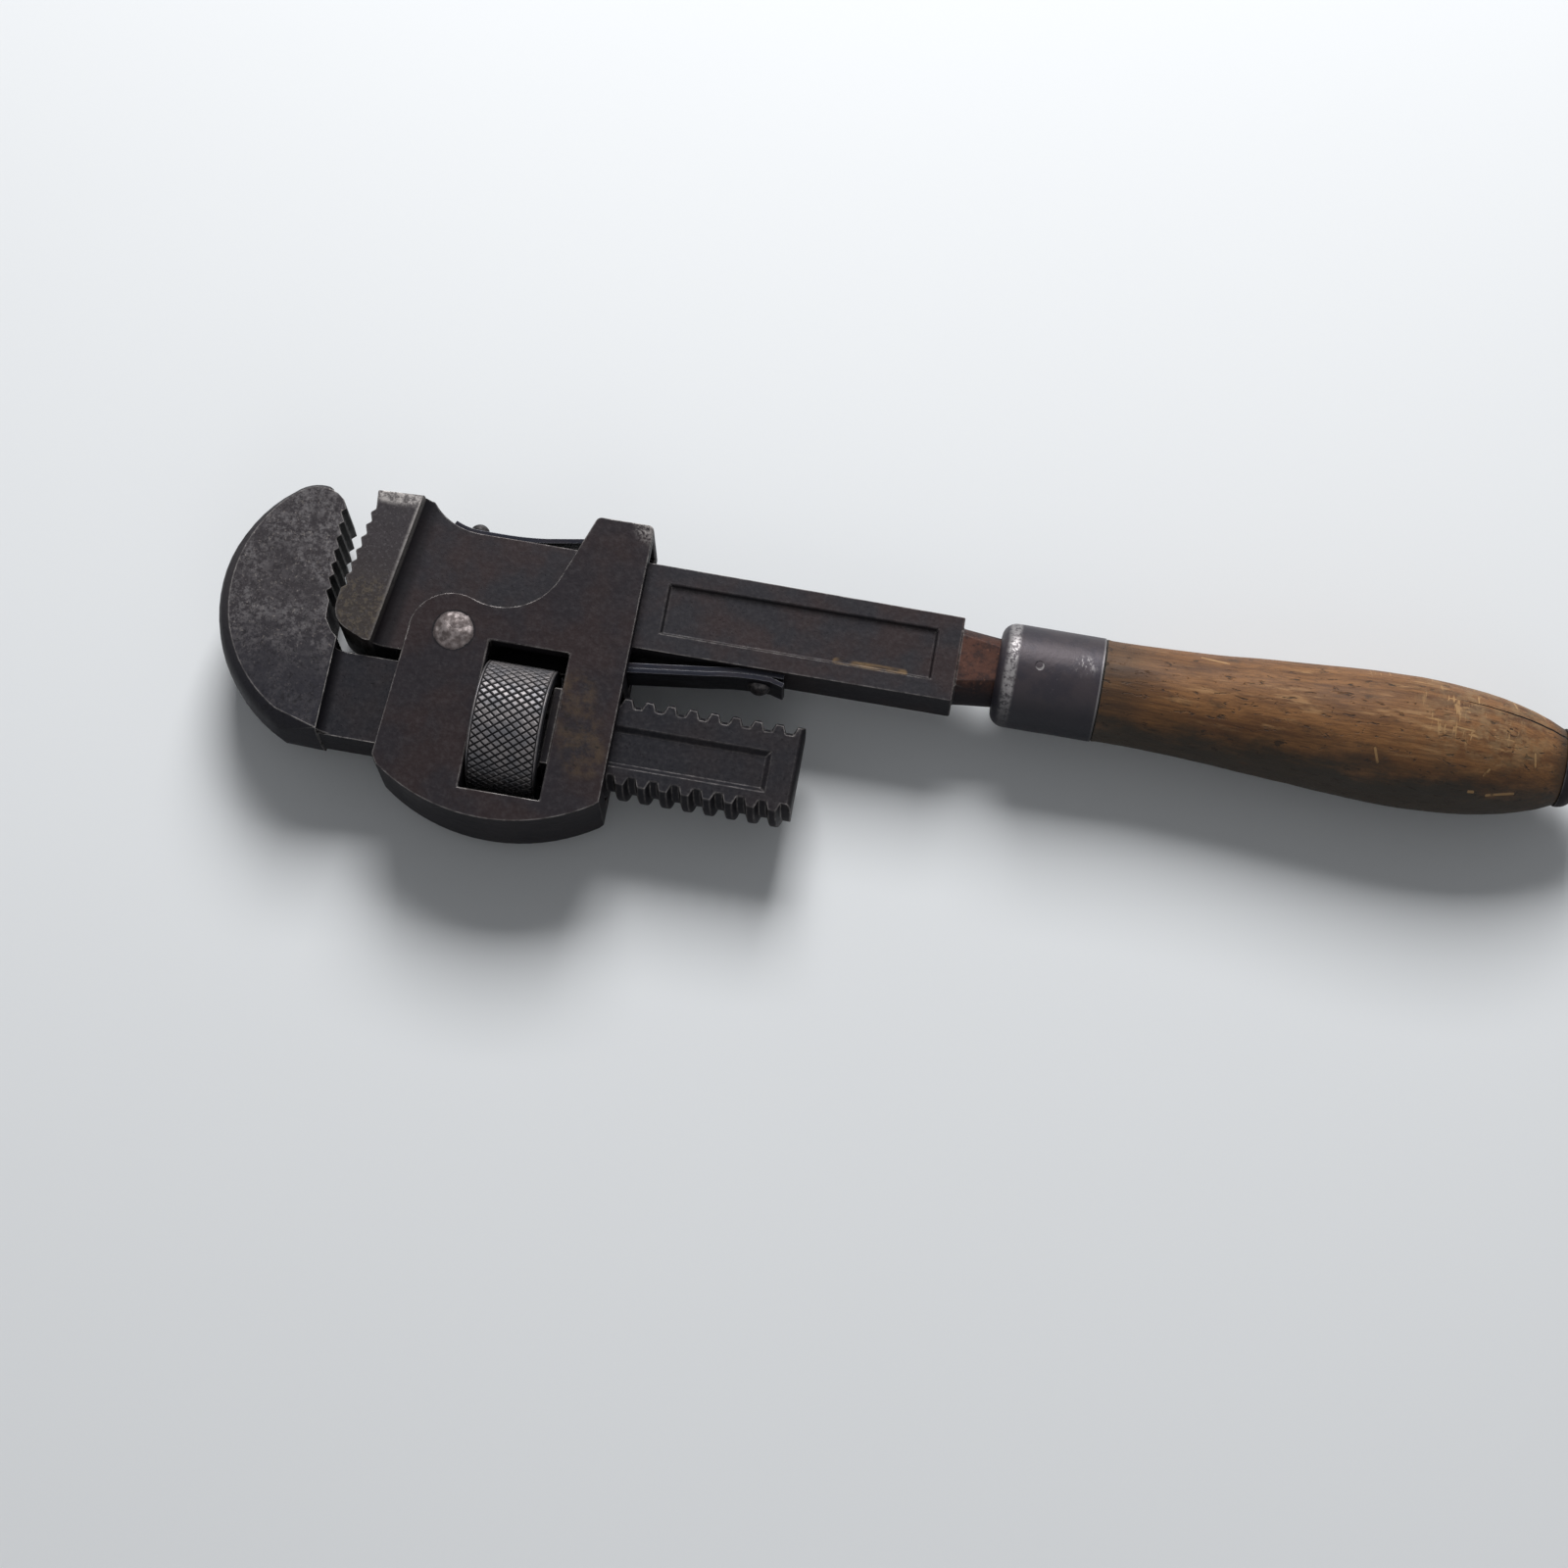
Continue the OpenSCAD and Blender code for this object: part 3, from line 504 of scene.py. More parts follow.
class Nodes:
    """Short ways to add and link the nodes of a tree"""

    def __init__(self, tree):
        self.tree = tree

    def add(self, kind, inputs=None, **settings):
        """Adds a node, sets it and plugs its inputs"""
        node = self.tree.nodes.new(kind)
        for name, value in settings.items():
            setattr(node, name, value)
        for name, value in (inputs or {}).items():
            self.plug(node.inputs[name], value)
        return node

    def plug(self, socket, value):
        """Links a socket to an output, or sets its value"""
        if isinstance(value, bpy.types.NodeSocket):
            self.tree.links.new(value, socket)
        elif socket.type == "RGBA":
            socket.default_value = (*value, 1) if len(value) == 3 else value
        else:
            socket.default_value = value

    def calc(self, operation, a, b=0.0):
        """A sum with two numbers"""
        return self.add("ShaderNodeMath", {0: a, 1: b}, operation=operation).outputs[0]

    def both(self, *shares):
        """The product of shares"""
        result = shares[0]
        for share in shares[1:]:
            result = self.calc("MULTIPLY", result, share)
        return result

    def either(self, *shares):
        """The largest of several shares"""
        result = shares[0]
        for share in shares[1:]:
            result = self.calc("MAXIMUM", result, share)
        return result


class Finish(Nodes):
    """A material under construction, with ways to place and to lay its colours"""

    def __init__(self, name, colour):
        self.colour = colour
        self.material = bpy.data.materials.new(name)
        self.material.use_nodes = True
        super().__init__(self.material.node_tree)
        self.skin = self.tree.nodes["Principled BSDF"]
        self.place = self.add("ShaderNodeTexCoord").outputs["Object"]

    def vector(self, operation, a, b):
        """A sum with two vectors, whose result is a vector or a number"""
        node = self.add("ShaderNodeVectorMath", {0: a, 1: b}, operation=operation)
        return node.outputs["Value" if operation in ("DOT_PRODUCT", "DISTANCE") else "Vector"]

    def mapped(self, scale):
        """The place with the pattern stretched: a scale under 1 makes it longer"""
        return self.add("ShaderNodeMapping", {"Vector": self.place, "Scale": scale}).outputs[0]

    def noise(self, size, detail=4.0, roughness=0.55, place=None, distortion=0.0):
        """Noise with blotches of a size in metres"""
        return self.add("ShaderNodeTexNoise", {
            "Vector": place or self.place, "Scale": 1 / size, "Detail": detail,
            "Roughness": roughness, "Distortion": distortion,
        }).outputs["Fac"]

    def band(self, value, low, high, start=0.0, end=1.0):
        """Runs smoothly from start to end as value goes from low to high"""
        return self.add("ShaderNodeMapRange", {
            "Value": value, "From Min": low, "From Max": high, "To Min": start, "To Max": end,
        }, interpolation_type="SMOOTHSTEP").outputs[0]

    def lay(self, share, under, over):
        """Lays a colour over another by a share"""
        return self.add("ShaderNodeMix", {0: share, 6: under, 7: over}, data_type="RGBA").outputs[2]

    def fall(self, value, low, high):
        """Runs smoothly from 1 to 0 as value goes from low to high"""
        return self.band(value, low, high, 1, 0)

    def between(self, value, start, full, fade, end):
        """Rises from 0 at start to 1 at full, and falls from 1 at fade to 0 at end"""
        return self.both(self.band(value, start, full), self.fall(value, fade, end))

    def paint(self, colour, *shares):
        """Lays a colour over what is there, by the product of shares"""
        self.colour = self.lay(self.both(*shares), self.colour, colour)

    def flat(self):
        """The place seen from above: every height is zero"""
        return self.vector("MULTIPLY", self.place, (1, 1, 0))

    def along(self, direction, origin=(0, 0, 0), place=None):
        """Distance from a point along a direction"""
        away = self.vector("SUBTRACT", place or self.place, origin)
        return self.vector("DOT_PRODUCT", away, Vector(direction).normalized())

    def line_distance(self, centre, across):
        """Distance from a line through a point, where across is 1 on the axes that count"""
        away = self.vector("SUBTRACT", self.place, centre)
        return self.vector("DISTANCE", self.vector("MULTIPLY", away, across), (0, 0, 0))

    def spot(self, centre, radius, soft=0.5):
        """A soft round place: 1 inside it and 0 outside"""
        away = self.vector("DISTANCE", self.place, centre)
        return self.fall(away, radius * (1 - soft), radius * (1 + soft))

    def stroke(self, start, end, width, place=None):
        """A thin straight mark from one point to another: 1 on it and 0 beside it"""
        place = place or self.place
        reach = Vector(end) - Vector(start)
        far = self.calc("MINIMUM", self.along(reach, start, place), reach.length)
        step = self.vector("MULTIPLY", self.calc("MAXIMUM", far, 0.0), reach.normalized())
        away = self.vector("DISTANCE", place, self.vector("ADD", step, start))
        return self.fall(away, width * 0.3, width * 0.6)

    def slope(self, direction, centre, radius):
        """Where a point lies on a round piece, from -1 on its far side to 1 towards a direction"""
        return self.calc("DIVIDE", self.along(direction, centre), radius)

    def edges(self, radius, low=0.006, high=0.060):
        """Where the surface turns sharply within a radius"""
        soft = self.add("ShaderNodeBevel", {"Radius": radius}, samples=4).outputs[0]
        same = self.vector("DOT_PRODUCT", soft, self.add("ShaderNodeNewGeometry").outputs["Normal"])
        return self.band(self.calc("SUBTRACT", 1.0, same), low, high)

    def level(self):
        """1 where the surface looks straight up or down, 0 where it is upright"""
        normal = self.add("ShaderNodeNewGeometry").outputs["Normal"]
        return self.calc("ABSOLUTE", self.vector("DOT_PRODUCT", normal, UP))

    def relief(self, height, depth, under=None):
        """Bumps of a depth, over those that are already there"""
        inputs = {"Height": height, "Distance": depth}
        if under is not None:
            inputs["Normal"] = under
        return self.add("ShaderNodeBump", inputs).outputs[0]

    def pressed(self, share, depth, under=None):
        """Hollows of a depth where a share is 1"""
        return self.relief(self.calc("SUBTRACT", 1.0, share), depth, under)

    def finish(self, roughness, metallic=None, normal=None, specular=0.5):
        """Plugs the results into the shader and returns the material"""
        results = {"Base Color": self.colour, "Roughness": roughness, "Metallic": metallic,
                   "Normal": normal, "Specular IOR Level": specular}
        for name, value in results.items():
            if value is not None:
                self.plug(self.skin.inputs[name], value)
        return self.material


def forged(name, steel, skin, patina, wear=0.6, pits=0.3, zones=None):
    """Old forged steel: a softly clouded skin, small pits, rubbed edges, and upright faces darkened as
    painted shade
    """
    f = Finish(name, skin)
    clouds = f.noise(11 * MM, 4)
    grain = f.noise(0.9 * MM, 4, 0.65)
    f.paint(patina, f.band(clouds, 0.38, 0.62))
    f.paint(steel.forged_grey, f.band(grain, 0.40, 0.75, 0.0, 0.12))
    pit = f.both(f.band(f.noise(0.55 * MM, 3, 0.6), 0.62, 0.70), pits)
    rubbed = zones(f, steel) if zones else 0.0
    # Painted shade: upright faces are darkened towards the grime colour
    f.paint(steel.grime_and_shade, f.band(f.level(), 0.35, 0.80, 0.62, 0))
    f.paint(steel.grime_and_shade, pit)
    edge = f.both(f.edges(0.40 * MM), f.band(f.noise(1.8 * MM, 4, 0.6), 0.34, 0.62, 0.30, 1.0), wear)
    bare = f.either(edge, rubbed)
    f.paint(steel.bare, bare)
    roughness = f.band(f.either(f.both(clouds, 0.8), bare), 0.2, 0.9, 0.56, 0.40)
    normal = f.relief(grain, 0.035 * MM)
    normal = f.pressed(pit, 0.08 * MM, normal)
    normal = f.relief(f.noise(4 * MM, 3), 0.14 * MM, normal)
    return f.finish(roughness, f.band(bare, 0.0, 1.0, 0.25, 0.7), normal, 0.10)


# ---- Pieces ----


class WRENCH_OT_bar(bpy.types.Operator):
    """Dress the bar with its heel jaw, sunk panels and rusty neck"""

    bl_idname = "wrench.bar"
    bl_label = "Bar"

    # The rear edge of the heel's raised pad leans a little: its upper end and the way from it to the pad
    PAD_TOP = Vector((BAR_LOW.x + 11.72 * MM, BAR_HIGH.y, CHEEK_HIGH.z))
    PAD_SIDE = (-0.9917, 0.129, 0)
    # The neck between the bar's rear end and the ferrule
    NECK_LENGTH = 7.4 * MM
    NECK_RADIUS = 7 * MM
    NECK_UNDER = (0, -0.8, -0.5)
    # Ends and width of the streak of pale dirt along the panel's lower edge
    STREAK = ((-12.4 * MM, 11.6 * MM, 0), (0.2 * MM, 11.5 * MM, 0), 1.6 * MM)

    HEEL_LOW_GREY = (0.036, 0.030, 0.027)
    HEEL_HIGH_GREY = (0.034, 0.030, 0.033)
    HEEL_TAN = (0.085, 0.070, 0.052)
    OLD_RUST = (0.034, 0.019, 0.017)
    FRESH_RUST = (0.125, 0.058, 0.040)
    NECK_SHADE = (0.014, 0.013, 0.016)
    PALE_DIRT = (0.155, 0.100, 0.050)

    def execute(self, context):
        steel = context.scene.wrench_steel
        material = forged("Bar steel", steel, steel.oxide, steel.patina, zones=self.zones)
        dress_copy("bar", "bar_forging", steel.edge_round, "handle", "bar_steel", material)
        return {"FINISHED"}

    def zones(self, f, steel):
        """Colours the heel's pad, paints shade into the fillet behind it, colours the neck with painted
        shade on its underside, and colours the panel's streak
        """
        across = f.along(self.PAD_SIDE, self.PAD_TOP)
        height = f.along(TO_BACK, (0, BAR_LOW.y, 0))
        pad = f.band(across, -0.2 * MM, 0.2 * MM)
        fine = f.noise(1.0 * MM, 5, 0.7)
        grey = f.lay(f.band(height, 4 * MM, 22 * MM), self.HEEL_LOW_GREY, self.HEEL_HIGH_GREY)
        f.paint(grey, pad, 0.85)
        speckle = f.both(f.band(f.noise(0.7 * MM, 5, 0.75), 0.52, 0.64), pad)
        f.paint(steel.forged_grey, speckle, 0.34)
        tan = f.both(f.fall(height, 10 * MM, 15 * MM), f.band(fine, 0.50, 0.60), pad)
        f.paint(self.HEEL_TAN, tan, 0.6)
        # Rubbed places: the pad's top and the line of its rear edge
        crown = f.both(f.band(height, 27.3 * MM, 28.8 * MM), pad, f.band(fine, 0.40, 0.60, 0.25, 1.0))
        line = f.both(f.between(across, -0.5 * MM, 0.0, 0.1 * MM, 0.8 * MM),
                      f.band(height, 4 * MM, 26 * MM, 0.15, 0.75), f.band(fine, 0.3, 0.5, 0.5, 1.0))
        # Painted shade in the concave fillet behind the pad's rear edge
        fillet = f.between(across, -4.4 * MM, -2.2 * MM, -0.5 * MM, -0.1 * MM)
        f.paint(steel.grime_and_shade, fillet, 0.8)
        neck_x = FERRULE_LOW.x - self.NECK_LENGTH
        neck = f.band(f.along(TO_HANDLE), neck_x - 0.4 * MM, neck_x + 0.6 * MM)
        rust = f.lay(f.band(f.noise(2.2 * MM, 5, 0.7), 0.42, 0.62), steel.rust, self.OLD_RUST)
        rust = f.lay(f.band(f.noise(1.3 * MM, 4, 0.6), 0.60, 0.68, 0, 0.8), rust, self.FRESH_RUST)
        low = f.band(f.slope(self.NECK_UNDER, GRIP_AXIS, self.NECK_RADIUS), -0.1, 0.6)
        f.paint(f.lay(f.both(low, 0.85), rust, self.NECK_SHADE), neck)
        streak = f.both(f.stroke(*self.STREAK, f.flat()), f.band(f.along(UP, middle("bar")), 0, MM),
                        f.band(f.noise(2.4 * MM, 3, 0.6, f.mapped((0.3, 1, 1))), 0.40, 0.58))
        f.paint(self.PALE_DIRT, streak, 0.75)
        return f.both(f.either(crown, line), 0.8)


class WRENCH_OT_hook(bpy.types.Operator):
    """Dress the hook jaw: a grey speckled head and a threaded shank"""

    bl_idname = "wrench.hook"
    bl_label = "Hook jaw"

    # The head ends and the shank starts here
    HEAD_END = JAW_LOW.x + 24.0 * MM

    SKIN = (0.0120, 0.0118, 0.0150)
    CLOUD = (0.0152, 0.0128, 0.0148)
    LOW_GREY = (0.021, 0.020, 0.025)
    HIGH_GREY = (0.033, 0.029, 0.032)
    GLINT = (0.23, 0.205, 0.19)
    MOTTLE = (0.011, 0.010, 0.012)

    def execute(self, context):
        steel = context.scene.wrench_steel
        material = forged("Jaw steel", steel, self.SKIN, self.CLOUD, wear=0.72, pits=0.5, zones=self.zones)
        dress_copy("hook_jaw", "hook_jaw_forging", steel.tooth_round, "hook", "jaw_steel", material)
        return {"FINISHED"}

    def zones(self, f, steel):
        """Colours the head's flat sides, and paints a shadow into the corner between the head and the shank
        """
        x = f.along(TO_HANDLE)
        head = f.fall(x, self.HEAD_END - 0.3 * MM, self.HEAD_END)
        face = f.band(f.level(), 0.93, 0.985)
        high = f.band(f.along(TO_BACK), -14 * MM, 8 * MM)
        flecks = f.calc("ADD", f.both(f.noise(0.8 * MM, 5, 0.75), 0.6),
                        f.both(f.noise(2.2 * MM, 5, 0.7), 0.4))
        f.paint(f.lay(high, self.LOW_GREY, self.HIGH_GREY), head)
        light = f.both(f.band(flecks, 0.45, 0.57), f.band(f.noise(6 * MM, 4, 0.6), 0.38, 0.56, 0.30, 1.0),
                       f.band(high, 0, 1, 0.18, 1.0))
        f.paint(steel.forged_grey, light, face, head)
        glints = f.both(f.band(f.noise(0.6 * MM, 4, 0.7), 0.60, 0.68), face, head,
                        f.band(high, 0, 1, 0.25, 1.0))
        f.paint(self.GLINT, glints, 0.7)
        mottle = f.both(f.band(f.noise(1.3 * MM, 5, 0.75, distortion=0.5), 0.54, 0.62),
                        head, f.band(high, 0, 1, 0.75, 0.45))
        f.paint(self.MOTTLE, mottle)
        end = self.HEAD_END
        # Painted shadow: a dark band on the shank beside the head's step
        corner = f.between(x, end, end + 0.2 * MM, end + 0.7 * MM, end + 2.4 * MM)
        f.paint(steel.grime_and_shade, corner, 0.85)
        return 0.0


class WRENCH_OT_frame(bpy.types.Operator):
    """Dress the frame: smooth brown cheeks with rubbed edges"""

    bl_idname = "wrench.frame"
    bl_label = "Frame"

    # Ends and width of the stained stripe on the upper cheek, behind the window
    STRIPE = ((-59 * MM, -4 * MM, CHEEK_HIGH.z), (-54.5 * MM, -16 * MM, CHEEK_HIGH.z), 9 * MM)
    # The frame's edges are rubbed rounder than the bar's
    EDGE_SHARE = 1.2
    # Width of the dirt round the pin's heads
    RING = 0.18 * MM
    # Half the height of the painted shade behind the nut
    SHADE_HALF = 7.4 * MM

    SKIN = (0.0150, 0.0125, 0.0152)
    CLOUD = (0.0195, 0.0130, 0.0138)
    STAIN = (0.050, 0.034, 0.023)
    STAIN_CRACK = (0.012, 0.010, 0.009)

    def execute(self, context):
        steel = context.scene.wrench_steel
        material = forged("Frame steel", steel, self.SKIN, self.CLOUD, wear=0.8, pits=0.15, zones=self.zones)
        rounding = steel.edge_round * self.EDGE_SHARE
        dress_copy("frame", "frame_forging", rounding, "frame", "frame_steel", material)
        return {"FINISHED"}

    def zones(self, f, steel):
        """Colours the stained stripe, the dirt round the pins' heads, the sunk faces with dirt and painted
        shade, the painted shade behind the nut and the rubbed rear corner
        """
        x = f.along(TO_HANDLE)
        stripe = f.stroke(*self.STRIPE)
        blot = f.band(f.noise(2.8 * MM, 6, 0.7), 0.38, 0.66)
        f.paint(self.STAIN, stripe, blot, 0.85)
        crack = f.both(stripe, f.band(f.noise(1.5 * MM, 5, 0.7), 0.58, 0.66))
        f.paint(self.STAIN_CRACK, crack, 0.8)
        ring = f.either(*(f.spot((PIN_AXIS.x, PIN_AXIS.y, z), PIN_RADIUS + self.RING, 0.05)
                          for z in (CHEEK_HIGH.z, CHEEK_LOW.z)))
        f.paint(steel.grime_and_shade, ring, 0.85)
        # Partly dirt and partly painted shade: faces sunk below the cheek's face are darkened
        deep = f.fall(f.calc("ABSOLUTE", f.along(UP, middle("frame"))),
                      FRAME_THICK / 2 - 0.9 * MM, FRAME_THICK / 2 - 0.35 * MM)
        f.paint(steel.grime_and_shade, deep, 0.55)
        # Painted shade on the window's rear wall, behind the nut
        aside = f.calc("ABSOLUTE", f.along(TO_BACK, NUT_AXIS))
        wall = f.both(f.between(x, NUT_AXIS.x, NUT_AXIS.x + 0.2 * MM,
                                NUT_HIGH.x + 1.5 * MM, NUT_HIGH.x + 1.8 * MM),
                      f.fall(aside, self.SHADE_HALF, self.SHADE_HALF + 0.4 * MM))
        f.paint(steel.grime_and_shade, wall, 0.8)
        corner = f.spot(CHEEK_HIGH - Vector((0.6 * MM, 0.8 * MM, 0)), 2.6 * MM)
        return f.both(corner, f.band(f.noise(0.6 * MM, 4, 0.7), 0.40, 0.62), 0.5)


class WRENCH_OT_pin(bpy.types.Operator):
    """Model the frame's pin with its two hammered heads"""

    bl_idname = "wrench.pin"
    bl_label = "Frame pin"

    SHAFT_RADIUS = 3 * MM
    # The heads start this far inside the cheeks
    SUNK = 0.02 * MM
    # Kind, size and depth of the hammer's dents
    DENTS = (("VORONOI", 2.1 * MM, 0.42 * MM), ("CLOUDS", 1.1 * MM, 0.16 * MM))
    # Share of a head's height over which the dents get their full depth
    FADE = 0.45

    SKIN = (0.070, 0.055, 0.053)
    RUBBED = (0.185, 0.158, 0.155)
    SPOTS = (0.060, 0.042, 0.038)
    RIM_SHADE = (0.040, 0.030, 0.030)

    def execute(self, context):
        rise = PIN_HIGH.z - CHEEK_HIGH.z
        base = Vector((PIN_AXIS.x, PIN_AXIS.y, CHEEK_HIGH.z - self.SUNK))
        # Radius of the sphere whose cap is as wide and as high as a head
        sphere = (PIN_RADIUS ** 2 + rise ** 2) / (2 * rise)
        piece = new_piece(bpy.ops.mesh.primitive_uv_sphere_add, "frame_pin_hammered",
                          segments=96, ring_count=120, radius=sphere,
                          location=(PIN_AXIS.x, PIN_AXIS.y, PIN_HIGH.z - sphere))
        edit_all(piece)
        bpy.ops.mesh.bisect(plane_co=base, plane_no=UP, clear_inner=True, use_fill=True)
        only(piece)
        crown = piece.vertex_groups.new(name="Crown")
        for v in piece.data.vertices:
            crown.add([v.index], min(1, max(0, v.co.z - CHEEK_HIGH.z) / (self.FADE * rise)), "REPLACE")
        for dents in self.DENTS:
            dent(piece, *dents, direction="Z", vertex_group=crown.name)
        piece.vertex_groups.clear()
        pick(piece, "VERT", lambda v: v.co.z < CHEEK_HIGH.z + TOUCH)
        bpy.ops.transform.resize(value=(1, 1, 0), center_override=base)
        mirror_down(piece, PIN_AXIS)
        shaft = new_piece(bpy.ops.mesh.primitive_cylinder_add, "pin_shaft", vertices=64,
                          radius=self.SHAFT_RADIUS, depth=FRAME_THICK, location=PIN_AXIS)
        round_edges(shaft, width=0.1 * MM)
        join(piece, shaft)
        shade(piece, angle=60)
        settle(piece, "frame", "rivet_steel", self.pin_finish(), "frame_pin")
        return {"FINISHED"}

    def pin_finish(self):
        """Rubbed steel, with painted brown shade round its rim"""
        f = Finish("Hammered pin", self.SKIN)
        grain = f.noise(0.5 * MM, 4, 0.7)
        rub = f.band(f.noise(1.3 * MM, 4, 0.6), 0.38, 0.64)
        f.paint(self.RUBBED, rub)
        f.paint(self.SPOTS, f.band(grain, 0.56, 0.7, 0, 0.7))
        # Painted shade: the head darkens towards its rim
        away = f.line_distance(PIN_AXIS, (1, 1, 0))
        rim = f.band(away, PIN_RADIUS - 0.9 * MM, PIN_RADIUS - 0.15 * MM)
        f.paint(self.RIM_SHADE, rim, 0.7)
        return f.finish(f.band(rub, 0, 1, 0.55, 0.42), 0.45, f.relief(grain, 0.05 * MM), 0.4)


class WRENCH_OT_nut(bpy.types.Operator):
    """Model the adjusting nut: a diamond knurl on the outside and the thread's ridge inside"""

    bl_idname = "wrench.nut"
    bl_label = "Adjusting nut"

    # Radii within this reach of the outside belong to the knurled shell
    SHELL = 1.6 * MM
    # Width of the slope between a crest and the flank of a groove
    CREST_SLOPE = 0.11 * MM
    # Chamfers of the rim, beside the knurl and at the nut's ends
    INNER_CHAMFER = 0.10 * MM
    OUTER_CHAMFER = 0.25 * MM
    # A vertex is on a ring when it is this close to its plane and to its radius
    PLANE_REACH = 0.01 * MM
    RADIUS_REACH = 0.03 * MM

    DULL_CREST = (0.115, 0.113, 0.122)
    SPOTS = (0.060, 0.055, 0.055)
    BORE_DARK = (0.020, 0.018, 0.020)

    def execute(self, context):
        nut = context.scene.wrench_nut
        piece = self.knurled_shell(nut)
        bore = working_copy("adjusting_nut", "nut_bore")
        pick(bore, "FACE", self.is_outside)
        bpy.ops.mesh.delete(type="FACE")
        join(piece, bore)
        for end in (NUT_LOW.x, NUT_HIGH.x):
            is_open = open_edges(piece)
            points = piece.data.vertices
            pick(piece, "EDGE", lambda e: is_open(e) and all(
                abs(points[i].co.x - end) < TOUCH for i in e.vertices))
            bpy.ops.mesh.bridge_edge_loops()
        edit_all(piece)
        bpy.ops.mesh.normals_make_consistent(inside=False)
        shade(piece, angle=22)
        settle(piece, "nut", "nut_steel", self.knurl_finish(nut), "adjusting_nut")
        return {"FINISHED"}

    def is_outside(self, face):
        """Whether a face of the CAD nut is on its outside or on one of its ends"""
        at_end = min(abs(face.center.x - x) for x in (NUT_LOW.x, NUT_HIGH.x)) < TOUCH
        return off_axis(face.center, NUT_AXIS) > NUT_RADIUS - self.SHELL or (
            abs(face.normal.x) > 0.99 and at_end)

    def knurled_shell(self, nut):
        """The outside: a grid of diamonds between two plain rims, open inside"""
        floor = NUT_RADIUS - nut.knurl_depth
        start, end = NUT_LOW.x + nut.rim, NUT_HIGH.x - nut.rim
        piece = new_piece(bpy.ops.mesh.primitive_cylinder_add, "adjusting_nut_knurled",
                          vertices=nut.diamonds_around, radius=floor, depth=end - start,
                          end_fill_type="NOTHING", location=NUT_AXIS, rotation=(0, math.pi / 2, 0))
        points = piece.data.vertices
        pick(piece, "EDGE", lambda e: abs(points[e.vertices[0]].co.x - points[e.vertices[1]].co.x) > MM)
        bpy.ops.mesh.subdivide(number_cuts=nut.diamonds_across - 1)
        only(piece)
        corners = len(piece.data.vertices)
        edit_all(piece)
        bpy.ops.mesh.poke()
        only(piece)
        points = piece.data.vertices

        def grid_edge(e):
            a, b = e.vertices
            on_rim = any(abs(points[a].co.x - x) < self.PLANE_REACH
                         and abs(points[b].co.x - x) < self.PLANE_REACH for x in (start, end))
            return a < corners and b < corners and not on_rim

        pick(piece, "EDGE", grid_edge)
        bpy.ops.mesh.dissolve_edges(use_verts=False)
        # Each diamond gets the flanks of its grooves, then the slope up to its crest
        slope = self.CREST_SLOPE
        edit_all(piece)
        bpy.ops.mesh.inset(thickness=nut.groove, depth=nut.knurl_depth - slope / 2, use_individual=True)
        bpy.ops.mesh.inset(thickness=slope, depth=slope / 2, use_individual=True)
        # How far each ring of the rim is from the knurl, and how far inside the outside
        rings = ((0.0, self.INNER_CHAMFER), (self.INNER_CHAMFER, 0.0),
                 (nut.rim - self.OUTER_CHAMFER, 0.0), (nut.rim, self.OUTER_CHAMFER),
                 (nut.rim, self.SHELL))
        for edge_x, way in ((start, -1), (end, 1)):
            x, radius = edge_x, floor
            for reach, depth in rings:
                next_x, next_radius = edge_x + way * reach, NUT_RADIUS - depth
                self.extend_ring(piece, x, radius, next_x, next_radius)
                x, radius = next_x, next_radius
        return piece

    def extend_ring(self, piece, x, radius, next_x, next_radius):
        """Finds the open ring at a place and a radius and draws it on to the next"""
        is_open = open_edges(piece)
        points = piece.data.vertices

        def on_ring(e):
            return is_open(e) and all(
                abs(points[i].co.x - x) < self.PLANE_REACH
                and abs(off_axis(points[i].co, NUT_AXIS) - radius) < self.RADIUS_REACH
                for i in e.vertices)

        pick(piece, "EDGE", on_ring)
        extrude_ring(NUT_AXIS, x, radius, next_x, next_radius)
        only(piece)

    def knurl_finish(self, nut):
        """Rubbed crests, oily grooves and a dark bore"""
        f = Finish("Knurled nut", nut.crest)
        reach = f.line_distance(NUT_AXIS, (0, 1, 1))
        grain = f.noise(0.5 * MM, 4, 0.65)
        height = f.band(reach, NUT_RADIUS - nut.knurl_depth * 0.95, NUT_RADIUS - nut.knurl_depth * 0.15)
        f.paint(self.DULL_CREST, f.band(f.noise(3.5 * MM, 4, 0.6), 0.36, 0.66))
        f.paint(self.SPOTS, f.band(grain, 0.5, 0.72, 0, 0.55))
        f.paint(nut.depth_colour, f.calc("SUBTRACT", 1.0, height))
        f.paint(self.BORE_DARK, f.fall(reach, NUT_RADIUS - 2.2 * MM, NUT_RADIUS - 1.2 * MM))
        roughness = f.band(height, 0, 1, 0.7, 0.42)
        return f.finish(roughness, 0.5, f.relief(grain, 0.03 * MM), 0.35)


